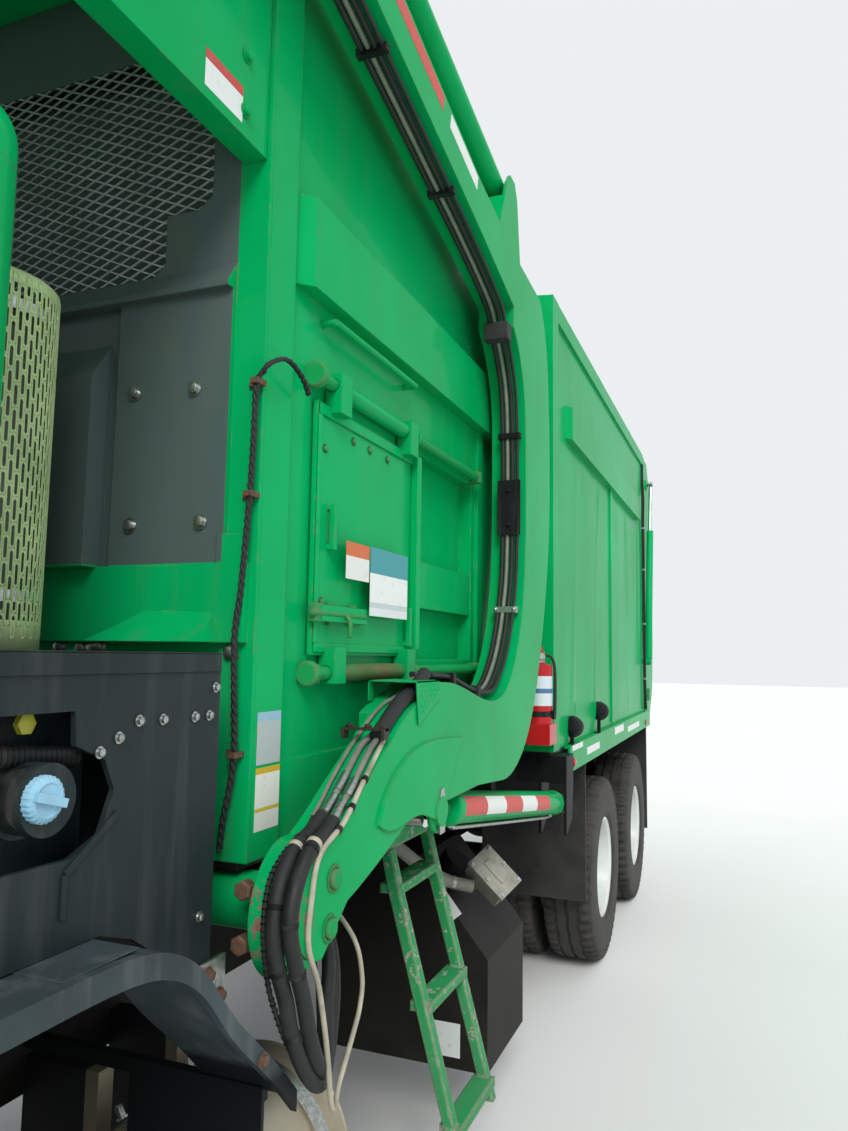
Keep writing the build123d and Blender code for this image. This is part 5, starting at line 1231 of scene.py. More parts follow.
makeBarrelDress(liftBarrel)


pins = {  # the retainer plate on the lift pin, drawn round the pin's place, and its bolts above and below
    "place": (1.410, 1.360), "x": (1.3035, 1.3065),
    "outline": ((-0.018, -0.058), (0.018, -0.058), (0.026, 0.0), (0.012, 0.060), (-0.012, 0.060),
                (-0.026, 0.0)),
    "bolts": [(1.3033, 1.410, 1.312), (1.3033, 1.410, 1.408)],
}


def makePins(look):
    outline = [(look["place"][0] + y, look["place"][1] + z) for y, z in look["outline"]]
    shapes = [sheetOf(outline, 0, *look["x"]), bolts(0.013, 0.0035, look["bolts"], (1, 0, 0), False)]
    makePiece("pinRetainers", onBoth(shapes), "zinc", "lift_arms")


makePins(pins)

print("stage 9: door, rails, shelves and side fittings")

doorTrim = {
    "x": 1.1185,
    "ribs": (  # how far it stands out, and bounds on station and height
        (0.0235, (1.602, 1.634), (1.790, 2.386)), (0.0055, (1.010, 1.602), (2.360, 2.388)),
        (0.0045, (1.010, 1.602), (1.778, 1.800)), (0.0045, (1.006, 1.024), (1.800, 2.360)),
    ),
    "latch": (
        (0.0195, (0.985, 1.030), (1.850, 1.895)), (0.0115, (1.070, 1.100), (1.845, 1.900)),
        (0.0115, (1.190, 1.220), (1.845, 1.900)),
    ),
    "bolt": ((1.134, 0.975, 1.872), (1.134, 1.05, 1.872), (1.134, 1.26, 1.872)),
    "grip": ((1.134, 1.14, 1.872), (1.150, 1.14, 1.860), (1.152, 1.14, 1.815)),
    "heads": [(1.1185, y, z) for y, z in ((1.30, 2.335), (1.42, 2.335), (1.20, 2.335), (1.045, 1.90),
                                          (1.045, 2.28))],
}


def makeDoorTrim(look):
    def raised(rows):
        return [boxed((look["x"], look["x"] + out), y, z) for out, y, z in rows]

    makePiece("doorFrame", raised(look["ribs"]), "green", "side_door", smooth=30, bevel=1.5)
    latch = raised(look["latch"]) + [tube(look["bolt"], 0.009, 12),
                                     tube(rounded(look["grip"], 0.01), 0.006, 10)]
    makePiece("doorLatch", latch, "greenWorn", "side_door", bevel=1.0)
    makePiece("doorBolts", [bolts(0.015, 0.007, look["heads"], (1, 0, 0))], "greenWorn", "side_door")


makeDoorTrim(doorTrim)

railSleeves = {  # height of the rail, start, end and radius of the sleeve, and finish
    "upperSleeve": (2.446, 1.128, 1.512, 0.0225, "green"), "upperRing": (2.446, 1.592, 1.612, 0.027, "green"),
    "upperHead": (2.446, 0.968, 0.990, 0.032, "greenWorn"),
    "lowerSleeve": (1.728, 1.128, 1.512, 0.0225, "railRust"),
    "lowerRing": (1.728, 1.592, 1.612, 0.026, "greenWorn"),
    "lowerHead": (1.728, 0.968, 0.990, 0.030, "greenWorn"),
}
finish["railRust"] = paintedSteel("greenEnamelMostlyRust", {
    **enamelBase, "colour": "#3c7a45", "faded": "#6c6244", "wear": 1.6, "edge": 1.0, "chipMm": 30,
    "streak": 0.8, "dirtColour": "#5c5138", "roughness": 0.55, "coat": 0.05, "rust": "#6b4a30",
    "waveDepthMm": 0.5, "blotchMm": 90,
})


def makeSleeves(rows):
    for name, (z, y0, y1, radius, look) in rows.items():
        length = y1 - y0
        edge = min(0.003, length / 4)
        profile = [(0, radius - edge), (edge, radius), (length - edge, radius), (length, radius - edge)]
        makePiece(name, [revolved(profile, (1.126, y0, z), (0, 1, 0), 28)], look, smooth=40)


makeSleeves(railSleeves)

shelf = {  # scuffed reflective patches and round side markers along the body's lower edge
    "x": 1.2502, "thick": 0.0006,
    "patches": (
        ((3.40, 3.66), (1.318, 1.344)), ((3.78, 4.16), (1.262, 1.300)), ((4.72, 5.10), (1.290, 1.335)),
        ((5.3, 5.9), (1.262, 1.300)),
    ),
    "marker": ((0, 0.022), (0.006, 0.022), (0.010, 0.016), (0.011, 0.002)),
    "markers": ((1.2505, 3.33, 1.262), (1.2505, 3.43, 1.262), (1.2505, 6.30, 1.262)),
}


def makeShelfDress(look):
    cards = [boxed((look["x"], look["x"] + look["thick"]), y, z) for y, z in look["patches"]]
    makePiece("shelfPatches", onBoth(cards), "whiteLabel", smooth=30)
    markers = [revolved(look["marker"], place, (1, 0, 0), 20) for place in look["markers"]]
    makePiece("sideMarkers", onBoth(markers), "redLens")


makeShelfDress(shelf)

workLamps = {
    "places": ((1.245, 4.19, 1.470), (1.235, 3.48, 1.432)), "way": (0.15, 0.93, -0.33), "shelfTop": 1.346,
    "house": (
        (-0.050, 0.020), (-0.046, 0.034), (-0.020, 0.04992), (0.012, 0.052), (0.018, 0.052), (0.018, 0.0468),
    ),
    "lens": ((0.014, 0.044), (0.019, 0.04312), (0.023, 0.022), (0.024, 0.002)),
}


def makeWorkLamps(look):
    # A turned housing on a folded strap: the lamp faces rearward and down along the wheels
    houses, straps, lenses = [], [], []
    foot = look["shelfTop"]
    for x, y, z in look["places"]:
        for _, side in leftAndRight:
            place, way = (x * side, y, z), np.array(look["way"]) * (side, 1, 1)
            houses.append(revolved(look["house"], place, way, 28))
            lenses.append(revolved(look["lens"], place, way, 24))
            straps += onSide(side, [
                boxed((x - 0.010, x + 0.010), (y - 0.022, y - 0.016), (foot, z - 0.03)),
                boxed((x - 0.030, x + 0.010), (y - 0.040, y - 0.006), (foot, foot + 0.006)),
            ])
    makePiece("workLampHouses", houses, "trim")
    makePiece("workLampStraps", straps, "chassis", bevel=0.8)
    makePiece("workLampLenses", lenses, "clearLens")


makeWorkLamps(workLamps)

bottle = {  # profiles as distance along the axis and radius; places as x, station and height
    "axis": (1.190, 2.966), "radius": 0.058, "body": 1.478, "label": (1.560, 1.690), "neckFoot": 1.740,
    "bodyProfile": (
        (0, 0.058), (0.012, 0.0592), (0.016, 0.058), (0.22, 0.058), (0.245, 0.05394), (0.262, 0.04176),
        (0.272, 0.0261),
    ),
    "neck": ((0, 0.026), (0.02, 0.026), (0.024, 0.018), (0.06, 0.018), (0.062, 0.012)),
    "gauge": ((0, 0.017), (0.010, 0.017), (0.013, 0.013)), "gaugePlace": (1.202, 2.950, 1.776),
    "levers": (((1.190, 2.976, 1.812), (1.190, 2.891, 1.835)),
               ((1.190, 2.976, 1.802), (1.190, 2.896, 1.798))),
    "hose": (
        (1.205, 2.966, 1.780), (1.240, 2.976, 1.775), (1.258, 2.978, 1.72), (1.258, 2.978, 1.55),
        (1.254, 2.976, 1.50),
    ),
    "strap": ((0, 0.059), (0.002, 0.061), (0.022, 0.061), (0.024, 0.059)), "strapFoot": 1.512,
    "clasp": ((1.244, 1.262), (2.950, 2.982), (1.510, 1.538)),
}


def makeExtinguisherDress(look):
    up, sides = (0, 0, 1), 32
    axis, r = look["axis"], look["radius"] + 0.0006
    makePiece("bottleBody", [revolved(look["bodyProfile"], (*axis, look["body"]), up, 36)], "red", smooth=40)
    points = [(axis[0] + r * math.cos(a), axis[1] + r * math.sin(a), z) for z in look["label"]
              for a in around(sides)]
    uv = [(i / sides, v) for v in (0, 1) for i in range(sides)]
    label = (np.array(points), gridFaces(2, sides, True).tolist())
    makePiece("bottleLabel", [label], "bottleVinyl", smooth=60, uv=uv)
    neck = revolved(look["neck"], (*axis, look["neckFoot"]), up, 20)
    gauge = revolved(look["gauge"], look["gaugePlace"], (0.5, -0.86, 0), 20)
    makePiece("bottleValve", [neck, gauge], "zinc")
    makePiece("bottleLevers", [bar(*ends, 0.018, 0.005) for ends in look["levers"]], "trim", bevel=0.8)
    hose = rounded(look["hose"], 0.012)
    makePiece("bottleHose", [tube(hose, np.linspace(0.006, 0.008, len(hose)), 10)], "hose", smooth=60)
    strap = revolved(look["strap"], (*axis, look["strapFoot"]), up, 36, False)
    makePiece("bottleStrap", [strap, boxed(*look["clasp"])], "trim")


finish["bottleVinyl"] = vinylFilm("bottleVinyl", [(0.0, "#c9d2d8"), (0.42, "#4a6f94"), (0.58, "#c9d2d8")])
makeExtinguisherDress(bottle)

print("stage 10: black panel, fender, tanks")

filler = {
    "place": (1.152, 0.168, 1.566), "capRibs": 24, "ribHeight": 0.0007, "around": 144,
    "cap": (  # distance outwards, radius, and how much of the rib's height shows
        (0.0, 0.030, 1), (0.003, 0.033, 1), (0.018, 0.033, 1), (0.022, 0.030, 0.5), (0.025, 0.024, 0),
        (0.023, 0.021, 0), (0.0235, 0.001, 0),
    ),
    "grip": ((0.027, -0.02688, 0.00784), (0.027, 0.02688, -0.00784)), "gripSection": (0.011, 0.013),
    "neck": ((-0.08, 0.041), (-0.03, 0.041), (-0.028, 0.045), (-0.010, 0.045), (-0.006, 0.036), (0.0, 0.034)),
    "collar": ((-0.080, 0.066), (-0.066, 0.066), (-0.060, 0.056), (-0.05, 0.042)),
    "hose": {"start": (1.105, -0.02, 1.640), "reach": 0.30, "fall": 0.10, "rings": 121, "radius": 0.016,
             "rib": 0.0022, "pitch": 0.010},
    "recess": ((1.060, 1.066), (0.0, 0.345), (1.44, 1.72)),
    "flanges": (
        ((1.1505, 1.1535), (-0.035, 0.598), (1.738, 1.771)),
        ((1.055, 1.1535), (-0.035, 0.598), (1.7715, 1.774)),
    ),
    "ribs": (((1.1515, 0.231, 1.448), (1.1515, 0.230, 1.384)),
             ((1.1515, 0.335, 1.520), (1.1515, 0.231, 1.448))),
    "spot": ((0, 0.017), (0.010, 0.017), (0.012, 0.013), (0.012, 0.001)), "spotPlace": (1.100, 0.184, 1.667),
}


def makeFiller(look):
    # A blue cap with a raised grip bar; its rim's radius = radius + rib height x sign(sin(24 angle))
    outward = (1, 0, 0)
    x, y, z = look["place"]
    turn = around(look["around"])
    rib = look["ribHeight"] * np.sign(np.sin(turn * look["capRibs"]))
    rings = []
    for out, radius, share in look["cap"]:
        r = radius + rib * share
        rings.append(np.stack((x + out + 0 * r, y + r * np.cos(turn), z + r * np.sin(turn)), axis=1))
    cap = (np.vstack(rings), gridFaces(len(rings), look["around"], True).tolist())
    grip = bar(*(np.array(look["place"]) + end for end in look["grip"]), *look["gripSection"])
    makePiece("blueCap", [cap, grip], "blueCap", bevel=1.0)
    turned = [revolved(look[key], look["place"], outward, 36) for key in ("neck", "collar")]
    makePiece("fillerNeck", turned, "trim")
    hose = look["hose"]
    travel = np.linspace(0, hose["reach"], hose["rings"])
    ribbed = hose["radius"] + hose["rib"] * np.cos(travel * 2 * math.pi / hose["pitch"])
    route = np.array(hose["start"]) + travel[:, None] * (0, 1, -hose["fall"])
    makePiece("corrugatedHose", [tube(route, ribbed, 14)], "trim", smooth=60)
    makePiece("fillerRecess", [boxed(*look["recess"])], "plastic")
    flange = [boxed(*bounds) for bounds in look["flanges"]]
    flange += [bar(*ends, 0.005, 0.012) for ends in look["ribs"]]
    makePiece("panelFlange", flange, "plastic", bevel=1.2)
    makePiece("yellowSpot", [revolved(look["spot"], look["spotPlace"], outward, 6)], "yellowSpot")


finish["yellowSpot"] = vinylFilm("yellowSpot", [(0.0, "#a9a832")], "X")
makeFiller(filler)

fenderDress = {
    "plate": ((1.060, 1.235), (0.150, 0.300), (1.3345, 1.3375)),
    "plateHeads": [(1.070, 0.278, 1.3375), (1.107, 0.257, 1.3375)],
    "bracket": (((1.1505, 1.158), (0.560, 0.640), (1.125, 1.215)),
                ((1.120, 1.158), (0.560, 0.640), (1.118, 1.126))),
    "bracketHeads": [(1.158, 0.585, 1.192), (1.158, 0.622, 1.145)],
}


def makeFenderDress(look):
    # Over the arch: a strap plate with rusty bolts, and the rear bracket on the panel's foot
    makePiece("fenderPlate", [boxed(*look["plate"])], "fender", bevel=1.0)
    heads = [bolts(0.020, 0.012, look["plateHeads"], (0, 0, 1)),
             bolts(0.018, 0.012, look["bracketHeads"], (1, 0, 0))]
    makePiece("fenderBolts2", heads, "rustySteel")
    makePiece("fenderBracket", [boxed(*bounds) for bounds in look["bracket"]], "zinc", bevel=1.0)


makeFenderDress(fenderDress)

hydraulics = {
    "head": (1.125, 2.450, 0.930), "along": (0.74, 0.0, -0.67), "out": (0.52, -0.63, 0.574), "half": 0.085,
    "wide": 0.110,
    "slabs": (  # distance out, reach each way along, width and thickness: block, lid and web
        (0.0, 0.085, 0.110, 0.080), (0.047, 0.091, 0.122, 0.016), (0.057, 0.051, 0.030, 0.006),
    ),
    "hose": ((0.78, 2.00, 1.17), (0.86, 2.10, 1.10), (0.93, 2.22, 1.00), (0.985, 2.35, 0.925),
             (1.070, 2.40, 0.900)),
    "lowLabel": ((0.935, 1.045), (2.3385, 2.3395), (0.30, 0.42)),
    "highLabel": ((0.965, 2.339, 0.877), (1.03, 2.339, 0.800), 0.0008, 0.045),
}


def makeHydraulics(look):
    # The cast valve block on the tank's sloped corner with its screwed lid, the suction hose and blank labels
    place, along, out = (np.array(look[key]) for key in ("head", "along", "out"))
    across = np.cross(along, out) * look["wide"] * 0.44
    block = []
    for lift, reach, wide, thick in look["slabs"]:
        block.append(bar(place + out * lift - along * reach, place + out * lift + along * reach, wide, thick,
                         out))
    block.append(tube([place - out * 0.03, place - out * 0.12 - along * 0.05], 0.040, 20))
    makePiece("valveBlock", block, "castBlock", bevel=5.0)
    corners = [place + out * 0.055 + along * a * look["half"] + across * b
               for a in (-0.92, 0, 0.92) for b in (-1, 1)]
    makePiece("valveScrews", [bolts(0.014, 0.010, corners, out)], "zinc")
    hose = rounded(look["hose"], 0.015)
    makePiece("suctionHose", [tube(hose, 0.024, 14)], "greyHose", smooth=60)
    band = ((0, 0.0255), (0.012, 0.0255))
    bands = [revolved(band, hose[i], hose[i + 1] - hose[i], 16, False) for i in (4, len(hose) - 6)]
    makePiece("suctionBands", bands, "zinc", smooth=40)
    labels = [boxed(*look["lowLabel"]), bar(*look["highLabel"])]
    makePiece("tankLabels", labels, "whiteLabel")


finish["castBlock"] = bareMetal("castAluminium", {
    **metalBase, "colour": "#9b9a8d", "oxide": "#7c796c", "cloudMm": 60, "rusted": 0.25, "metallic": 0.4,
    "roughness": 0.55,
})
makeHydraulics(hydraulics)

tank = {
    "x": 0.860, "height": 0.500, "straps": (0.890, 1.180), "seams": (0.806, 1.314),
    "strap": ((0, 0.2418), (0.001, 0.2434), (0.049, 0.2434), (0.05, 0.2418)),
    "seam": ((-0.004, 0.2345), (0.0, 0.2385), (0.004, 0.2345)),
}


def makeTankDress(look):
    def hoops(profile, stations):
        return [revolved(profile, (look["x"], y, look["height"]), (0, 1, 0), 64, False) for y in stations]

    makePiece("tankStrapsSkin", hoops(look["strap"], look["straps"]), "zinc", smooth=40)
    places = [(look["x"] - 0.15, y + 0.025, look["height"] + 0.20) for y in look["straps"]]
    tees = bolts(0.018, 0.03, places, (-0.5, 0, 0.8))
    makePiece("tankStrapBolts", [tees], "zinc", smooth=40)
    makePiece("tankSeams", hoops(look["seam"], look["seams"]), "tank", smooth=50)


makeTankDress(tank)

print("stage 11: sheet metal, glass seals and lamps")

skins = {
    "bodySkins": {  # where it lies, rows and columns, how steep its margins rise, and how proud it stands
        "x": 1.220, "station": (3.172, 6.468), "height": (1.350, 2.876), "grid": (200, 60),
        "margin": (40, 14),
        "proud": 0.0012, "ripple": 0.4, "leanFrom": 2.0,
        "creases": (  # station, width, depth and lean
            (3.60, 0.05, 0.005, 0.10), (4.05, 0.16, 0.009, -0.06), (4.22, 0.035, 0.009, 0.16),
            (5.10, 0.22, 0.010, 0.04), (5.52, 0.05, 0.009, -0.08), (5.95, 0.12, 0.009, 0.05),
            (6.22, 0.04, 0.006, 0.0),
        ),
    },
    "hopperSkins": {
        "x": 1.100, "station": (0.878, 3.046), "height": (2.872, 3.496), "grid": (120, 20), "margin": (30, 8),
        "proud": 0.001, "ripple": 0.0, "leanFrom": 3.2,
        "creases": ((1.4, 0.25, 0.003, 0.0), (2.3, 0.12, 0.004, 0.2)),
    },
}


def makeDentedSkin(name, look):
    # Plate pushed out by the load, 0 at its edges. Stand-off = proud + the sum of depth
    # x exp(-((y - station - lean x (z - leanFrom)) / width)^2) x (1 - ripple + ripple x sin(3.1 z + station))
    rows, columns = look["grid"]
    y = np.linspace(*look["station"], rows)[:, None]
    z = np.linspace(*look["height"], columns)[None, :]
    off = np.full((rows, columns), look["proud"])
    for station, width, depth, lean in look["creases"]:
        ripple = 1 - look["ripple"] + look["ripple"] * np.sin(z * 3.1 + station)
        off += depth * np.exp(-(((y - station - lean * (z - look["leanFrom"])) / width) ** 2)) * ripple
    u, v = (y - y[0]) / (y[-1] - y[0]), (z - z[0, 0]) / (z[0, -1] - z[0, 0])
    margins = np.minimum(np.minimum(u, 1 - u) * look["margin"][0], np.minimum(v, 1 - v) * look["margin"][1])
    x = look["x"] + off * np.clip(margins, 0, 1)
    points = np.stack((x, y + 0 * z, z + 0 * y), axis=-1).reshape(-1, 3)
    makePiece(name, onBoth([(points, gridFaces(rows, columns).tolist())]), "green", smooth=60)


for skinName, skinLook in skins.items():
    makeDentedSkin(skinName, skinLook)


def ringOf(corners, width, height, lift):
    # a rectangular bead that follows closed corners: each side is one bar, lifted off the surface
    return [bar(start, end, width, height, lift) for start, end in zip(corners, corners[1:] + corners[:1])]


cabTrim = {
    "face": (-1.400, 1.560, 0.120 / 0.91),  # station of the sloping front at a height, and its slope
    "screen": (0.885, 1.655, 2.385),
    "wiperRoots": (-0.10, 0.62), "wiperRoot": (1.645, 0.020), "wiperWay": (0, -1, 0.1),
    "wiperEnds": (  # end of the arm and both ends of the blade: across from the root, height and stand-off
        (-0.40, 1.930, 0.016), (-0.45, 1.700, 0.014), (-0.35, 2.200, 0.014),
    ),
    "wiperCap": ((0, 0.018), (0.018, 0.016), (0.022, 0.006)), "armSection": (0.014, 0.008),
    "bladeSection": (0.008, 0.014),
    "slat": ((-0.70, 0.70), (-1.402, -1.394), 0.022), "slatFeet": np.arange(1.10, 1.50, 0.045),
    "grilleFrame": (0.74, 1.075, 1.536, 0.016), "frameDepth": (-1.404, -1.396), "doorX": 1.0305,
    "handle": (  # how far in and out of the door's face, and bounds on station and height
        (0, 0.028, (-0.520, -0.500), (1.440, 1.470)), (0.014, 0.030, (-0.66, -0.500), (1.446, 1.464)),
        (0, 0.028, (-0.665, -0.645), (1.440, 1.470)), (0, 0.003, (-1.195, -0.435), (1.125, 1.135)),
        (0, 0.003, (-1.195, -0.435), (2.425, 2.435)),
    ),
    "window": ((-1.140, 1.620), (-0.500, 1.620), (-0.500, 2.360), (-1.080, 2.360), (-1.140, 2.150)),
    "rail": (-0.392, (1.30, 1.75, 2.15), (1.32, 2.13)),
    "mirror": ((1.070, 1.130), (-1.3595, -1.3585), (1.730, 2.120)),
    "mirrorRim": ((1.070, 1.130), (-1.3595, -1.3588), (1.712, 1.722)),
    "roofLamp": ((0, 0.032), (0.012, 0.032), (0.026, 0.024), (0.032, 0.004)),
    "bezel": ((0, 0.074), (0.004, 0.080), (0.010, 0.080), (0.012, 0.066)),
    "tailLens": ((0, 0.050), (0.006, 0.050), (0.010, 0.044), (0.012, 0.004)),
    "lamps": {  # profile, x of each, station and height, way it faces, sides, ends closed, finish, slot
        "roofMarkers": ("roofLamp", (-0.70, -0.18, 0.0, 0.18, 0.70), (-1.207, 2.598), (0, -0.72, 0.69), 20,
                        True, "amberLens", None),
        "lampBezels": ("bezel", (0.69, 0.85, -0.69, -0.85), (-1.4475, 0.590), (0, -1, 0), 36, False, "zinc",
                       "chrome_rod"),
        "tailLenses": ("tailLens", (0.72, 0.85, -0.72, -0.85), (6.7252, 0.540), (0, 1, 0), 28, True,
                       "redLens", None),
        "reverseLenses": ("tailLens", (0.98, -0.98), (6.7252, 0.540), (0, 1, 0), 28, True, "clearLens",
                          None),
    },
}


def makeWindscreenTrim(look):
    # The screen's seal and wipers, and the grille below it
    station, foot, slope = look["face"]

    def onFace(x, z, out=0.0):
        return (x, station + (z - foot) * slope - out, z)

    half, low, high = look["screen"]
    corners = [onFace(-half, low), onFace(half, low), onFace(half, high), onFace(-half, high)]
    makePiece("screenSeal", ringOf(corners, 0.024, 0.010, (0, -1, 0.13)), "trim", bevel=2.0)
    wipers = []
    for x in look["wiperRoots"]:
        root = onFace(x, *look["wiperRoot"])
        armEnd, *blade = (onFace(x + across, z, out) for across, z, out in look["wiperEnds"])
        wipers.append(bar(root, armEnd, *look["armSection"], look["wiperWay"]))
        wipers.append(revolved(look["wiperCap"], root, (0, -1, 0), 16))
        wipers.append(bar(*blade, *look["bladeSection"], look["wiperWay"]))
    makePiece("wipers", wipers, "trim", bevel=0.8)
    x, y, tall = look["slat"]
    grille = [boxed(x, y, (z, z + tall)) for z in look["slatFeet"]]
    half, low, high, wide = look["grilleFrame"]
    y = look["frameDepth"]
    grille += [boxed((-half, half), y, (z, z + wide)) for z in (low, high - wide)]
    grille += [boxed((x, x + wide), y, (low, high)) for x in (-half, half - wide)]
    makePiece("grilleSlats", grille, "trim", bevel=1.0)


def makeDoorSides(look):
    # Pull handles with the door's hinge strips, window seals and the grab rails behind the doors
    x = look["doorX"]
    handle = [boxed((x + near, x + far), y, z) for near, far, y, z in look["handle"]]
    bead = ringOf([(x, y, z) for y, z in look["window"]], 0.004, 0.022, (0, 0.3, 1))
    station, heights, feet = look["rail"]
    rail = [tube([(x + 0.045, station, z) for z in heights], 0.014, 14)]
    rail += [tube([(x + out, station, z) for out in (-0.005, 0.02, 0.045)], 0.012, 12) for z in feet]
    for tag, side in leftAndRight:
        door = f"cab_door_{tag.lower()}"
        makePiece(f"doorHandle{tag}", onSide(side, handle), "trim", door, bevel=2.0)
        makePiece(f"windowSeal{tag}", onSide(side, bead), "trim", door)
        makePiece(f"grabRail{tag}", onSide(side, rail), "zinc", smooth=50)


def makeCabLamps(look):
    # Mirror glass, roof markers, headlamp bezels, and the lenses of the rear bumper
    makePiece("mirrorGlass", onBoth([boxed(*look["mirror"])]), "mirror")
    makePiece("mirrorRims", onBoth([boxed(*look["mirrorRim"])]), "trim")
    for name, (profile, places, seat, way, sides, capped, tone, slot) in look["lamps"].items():
        lamps = [revolved(look[profile], (x, *seat), way, sides, capped) for x in places]
        makePiece(name, lamps, tone, smooth=40)


finish["mirror"] = bareMetal("silveredMirror", {
    **metalBase, "colour": "#c9ced2", "oxide": "#b9c0c4", "roughness": 0.03, "dullRoughness": 0.08,
    "rusted": 0.0,
})
makeWindscreenTrim(cabTrim)
makeDoorSides(cabTrim)
makeCabLamps(cabTrim)

print("stage 12: cab interior and tailgate")

seats = {  # centres as (side of the cab, station, height over the floor), half sizes and crown
    "x": 0.580, "grid": 28, "crown": 0.12, "backLean": -6,
    "cushion": ((-0.355, 0.225), (0.245, 0.225, 0.068)), "back": ((-0.075, 0.565), (0.235, 0.285, 0.062)),
    "base": ((0.15, (-0.50, -0.20), (0.002, 0.075)), (0.20, (-0.55, -0.15), (0.075, 0.155))),
}
cabFloor = 1.316
wheelInCab = {
    "centre": (0.580, -0.850, 1.690), "radius": 0.210, "thick": 0.016, "lean": -50,
    "spokes": (0.2, math.pi - 0.2, -math.pi / 2), "spokeReach": 0.205,
    "hub": ((-0.02, 0.045), (0.010, 0.048), (0.018, 0.040), (0.020, 0.004)),
    "column": ((0.580, -1.020, 1.500), (0.580, -0.960, 1.580), (0.580, -0.865, 1.675)),
    "dash": ((-1.355, 1.335), (-1.010, 1.335), (-1.000, 1.440), (-1.060, 1.545), (-1.355, 1.548)),
    "dashHalf": 0.860,
    "binnacle": ((-1.20, 1.545), (-1.010, 1.500), (-1.030, 1.600), (-1.20, 1.640)), "binnacleX": (0.40, 0.78),
}


def pillow(centre, half, crown, grid):
    # A stuffed block: every direction is squashed to a rounded cube, |x|^n + |y|^n + |z|^n = 1 with n = 5,
    # pinched along the seam at mid-height, and crowned over its top and foot between two sewn channels
    a = around(grid * 2)
    b = np.linspace(-math.pi / 2 + 0.02, math.pi / 2 - 0.02, grid)[:, None]
    direction = np.stack((np.cos(b) * np.cos(a), np.cos(b) * np.sin(a), np.sin(b) + 0 * a), axis=-1)
    size = (np.abs(direction) ** 5).sum(axis=-1) ** -0.2
    p = direction * size[..., None]
    p[..., :2] *= 1 - 0.035 * np.exp(-((p[..., 2:] / 0.10) ** 2))
    bulge = (1 - p[..., 0] ** 2) * (1 - p[..., 1] ** 2)
    channel = 0.30 * np.exp(-(((np.abs(p[..., 0]) - 0.45) / 0.05) ** 2))
    p[..., 2] += np.sign(p[..., 2]) * crown * (np.clip(bulge, 0, 1) - channel)
    return (np.array(centre) + p * np.array(half)).reshape(-1, 3), pipeFaces(grid, grid * 2)


def makeSeats(look, floor):
    for tag, side in leftAndRight:
        x = side * look["x"]
        (y, z), half = look["cushion"]
        cushion = pillow((x, y, floor + z), half, look["crown"], look["grid"])
        covers = ["cab_interior"] if side > 0 else ()
        piece = makePiece(f"seatCushion{tag}", [cushion], "seatCloth", smooth=60, replaced=covers)
        (y, z), half = look["back"]
        points, faces = pillow((0, 0, 0), half, look["crown"], look["grid"])
        c, s = math.cos(math.radians(look["backLean"])), math.sin(math.radians(look["backLean"]))
        across, up, front = points.T
        leant = np.stack((across, -front * c - up * s, up * c - front * s), axis=1)
        piece = makePiece(f"seatBack{tag}", [(leant + (x, y, floor + z), faces)], "seatCloth", smooth=60)
        base = [boxed((x - half, x + half), y, (floor + low, floor + high))
                for half, y, (low, high) in look["base"]]
        makePiece(f"seatBase{tag}", base, "trim", bevel=4.0)


def makeDash(look):
    dash = sheetOf(look["dash"], 0, -look["dashHalf"], look["dashHalf"])
    makePiece("dashboard", [dash, sheetOf(look["binnacle"], 0, *look["binnacleX"])], "trim", bevel=12.0)
    lean = math.radians(look["lean"])
    across, up = np.array((1.0, 0, 0)), np.array((0, math.cos(lean), math.sin(lean)))
    axis, centre = np.cross(across, up), np.array(look["centre"])
    turn, small = around(64), around(12)
    ring = np.cos(turn)[:, None] * across + np.sin(turn)[:, None] * up
    section = np.cos(small)[None, :, None] * ring[:, None] + np.sin(small)[None, :, None] * axis
    points = (centre + look["radius"] * ring[:, None] + look["thick"] * section).reshape(-1, 3)
    rim = (np.vstack((points, points[:12])), gridFaces(65, 12, True).tolist())
    hub = revolved(look["hub"], centre, -axis, 24)
    spokes = []
    for a in look["spokes"]:
        end = centre + look["spokeReach"] * (math.cos(a) * across + math.sin(a) * up)
        spokes.append(bar(centre, end, 0.030, 0.010, axis))
    makePiece("steeringWheel", [rim, hub, tube(look["column"], 0.030, 16)] + spokes, "trim", smooth=50)


finish["seatCloth"] = rubberSurface("seatVinyl", {
    "colour": "#23272a", "dusty": "#3d4245", "cloudMm": 90, "grainMm": 2, "roughness": 0.6,
})
makeSeats(seats, cabFloor)
makeDash(wheelInCab)

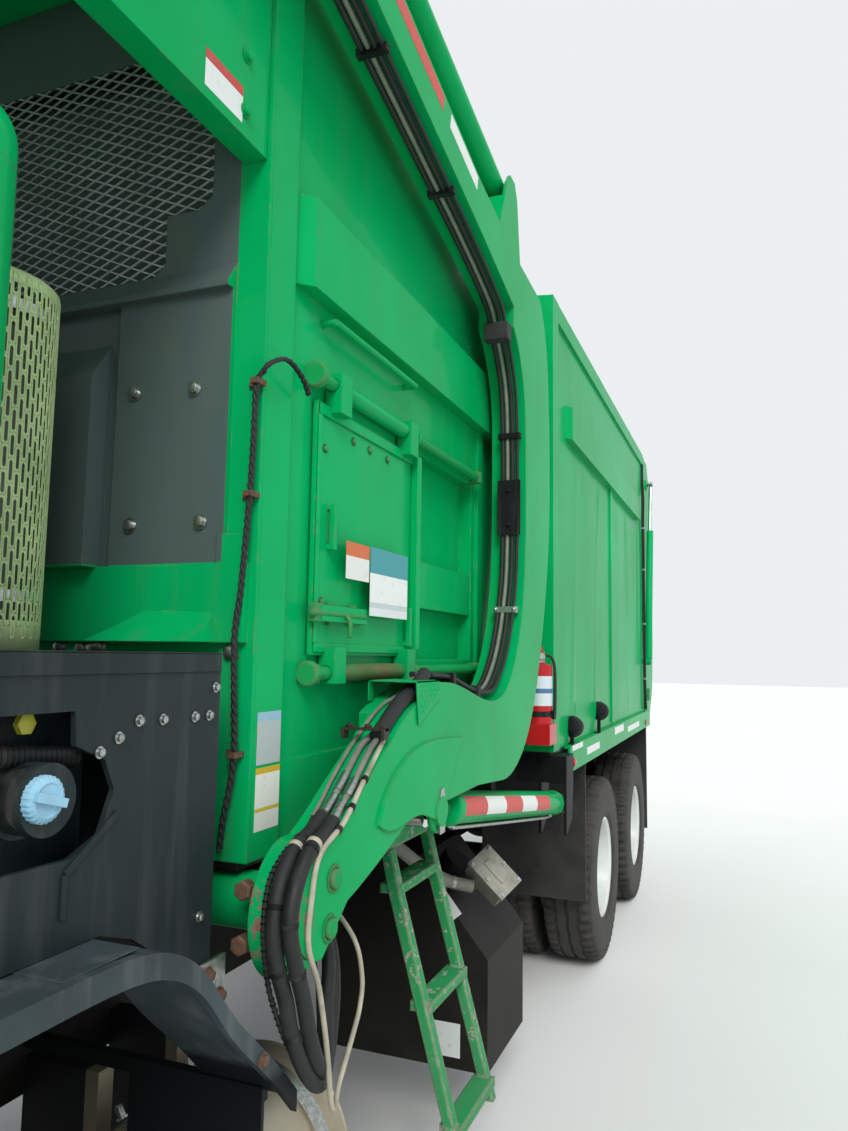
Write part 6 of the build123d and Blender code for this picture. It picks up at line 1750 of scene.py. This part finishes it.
gateDress = {
    "seal": ((-1.205, 1.205), (1.352, 1.378)), "sealSide": ((1.190, 1.216), (1.352, 3.48)),
    "sealY": (6.6015, 6.6055),
    "hosesX": (1.231, 1.243), "hoseTopX": 1.233, "hoseTop": (6.46, 3.42),
    "hose": (  # x past the hose's own, station and height
        (0, 6.44, 1.36), (0, 6.40, 1.50), (0, 6.395, 1.90), (0, 6.40, 2.40), (0, 6.40, 2.90),
        (0.002, 6.42, 3.10), (-0.008, 6.44, 3.30),
    ),
    "strap": ((1.229, 1.252), (6.385, 6.412)), "strapHeights": (1.60, 2.05, 2.50, 2.85),
    "clamps": (((1.2205, 1.244), (6.64, 6.70), (1.42, 1.52)), ((1.2205, 1.236), (6.63, 6.76), (1.46, 1.485))),
    "box": ((0.93, 1.13), (7.108, 7.122)), "boxHeights": (1.98, 2.12), "lampsX": (0.98, 1.08), "lampY": 7.122,
    "lens": ((0, 0.042), (0.006, 0.042), (0.010, 0.034), (0.011, 0.004)),
    "lamps": (("gateLamps", 2.03, "redLens"), ("gateTurnLamps", 2.17, "amberLens")),
    "plate": ((-0.26, 0.26), (6.701, 6.703), (0.485, 0.595)),
}


def makeTailgateDress(look):
    # Rubber seal between body and gate, feed hoses up the posts, hold-down clamps, lamps and a blank plate
    x, z = look["seal"]
    seal = [boxed(x, look["sealY"], z)]
    x, z = look["sealSide"]
    makePiece("gateSeal", seal + onBoth([boxed(x, look["sealY"], z)]), "rubber")
    straps = [boxed(*look["strap"], (z, z + 0.016)) for z in look["strapHeights"]]
    clamps = [boxed(*bounds) for bounds in look["clamps"]]
    boxes = [boxed(*look["box"], (z, z + 0.10)) for z in look["boxHeights"]]
    for tag, side in leftAndRight:
        lines = []
        for x in look["hosesX"]:
            route = [(side * (x + d), y, z) for d, y, z in look["hose"]]
            route.append((side * look["hoseTopX"], *look["hoseTop"]))
            lines.append(tube(rounded(route, 0.03), 0.0065, 8))
        makePiece(f"gateHoses{tag}", lines, "hose", smooth=60)
        makePiece(f"gateHoseStraps{tag}", onSide(side, straps), "zinc", bevel=0.8)
        makePiece(f"gateClamps{tag}", onSide(side, clamps), "greenWorn", "tailgate", bevel=2.0)
        makePiece(f"gateLampBoxes{tag}", onSide(side, boxes), "trim", "tailgate", bevel=2.0)
        for name, z, tone in look["lamps"]:
            lenses = [revolved(look["lens"], (side * x, look["lampY"], z), (0, 1, 0), 24)
                      for x in look["lampsX"]]
            makePiece(f"{name}{tag}", lenses, tone, "tailgate", smooth=40)
    makePiece("numberPlate", [boxed(*look["plate"])], "whiteLabel", smooth=30)


makeTailgateDress(gateDress)

print("last stage: all pieces placed")
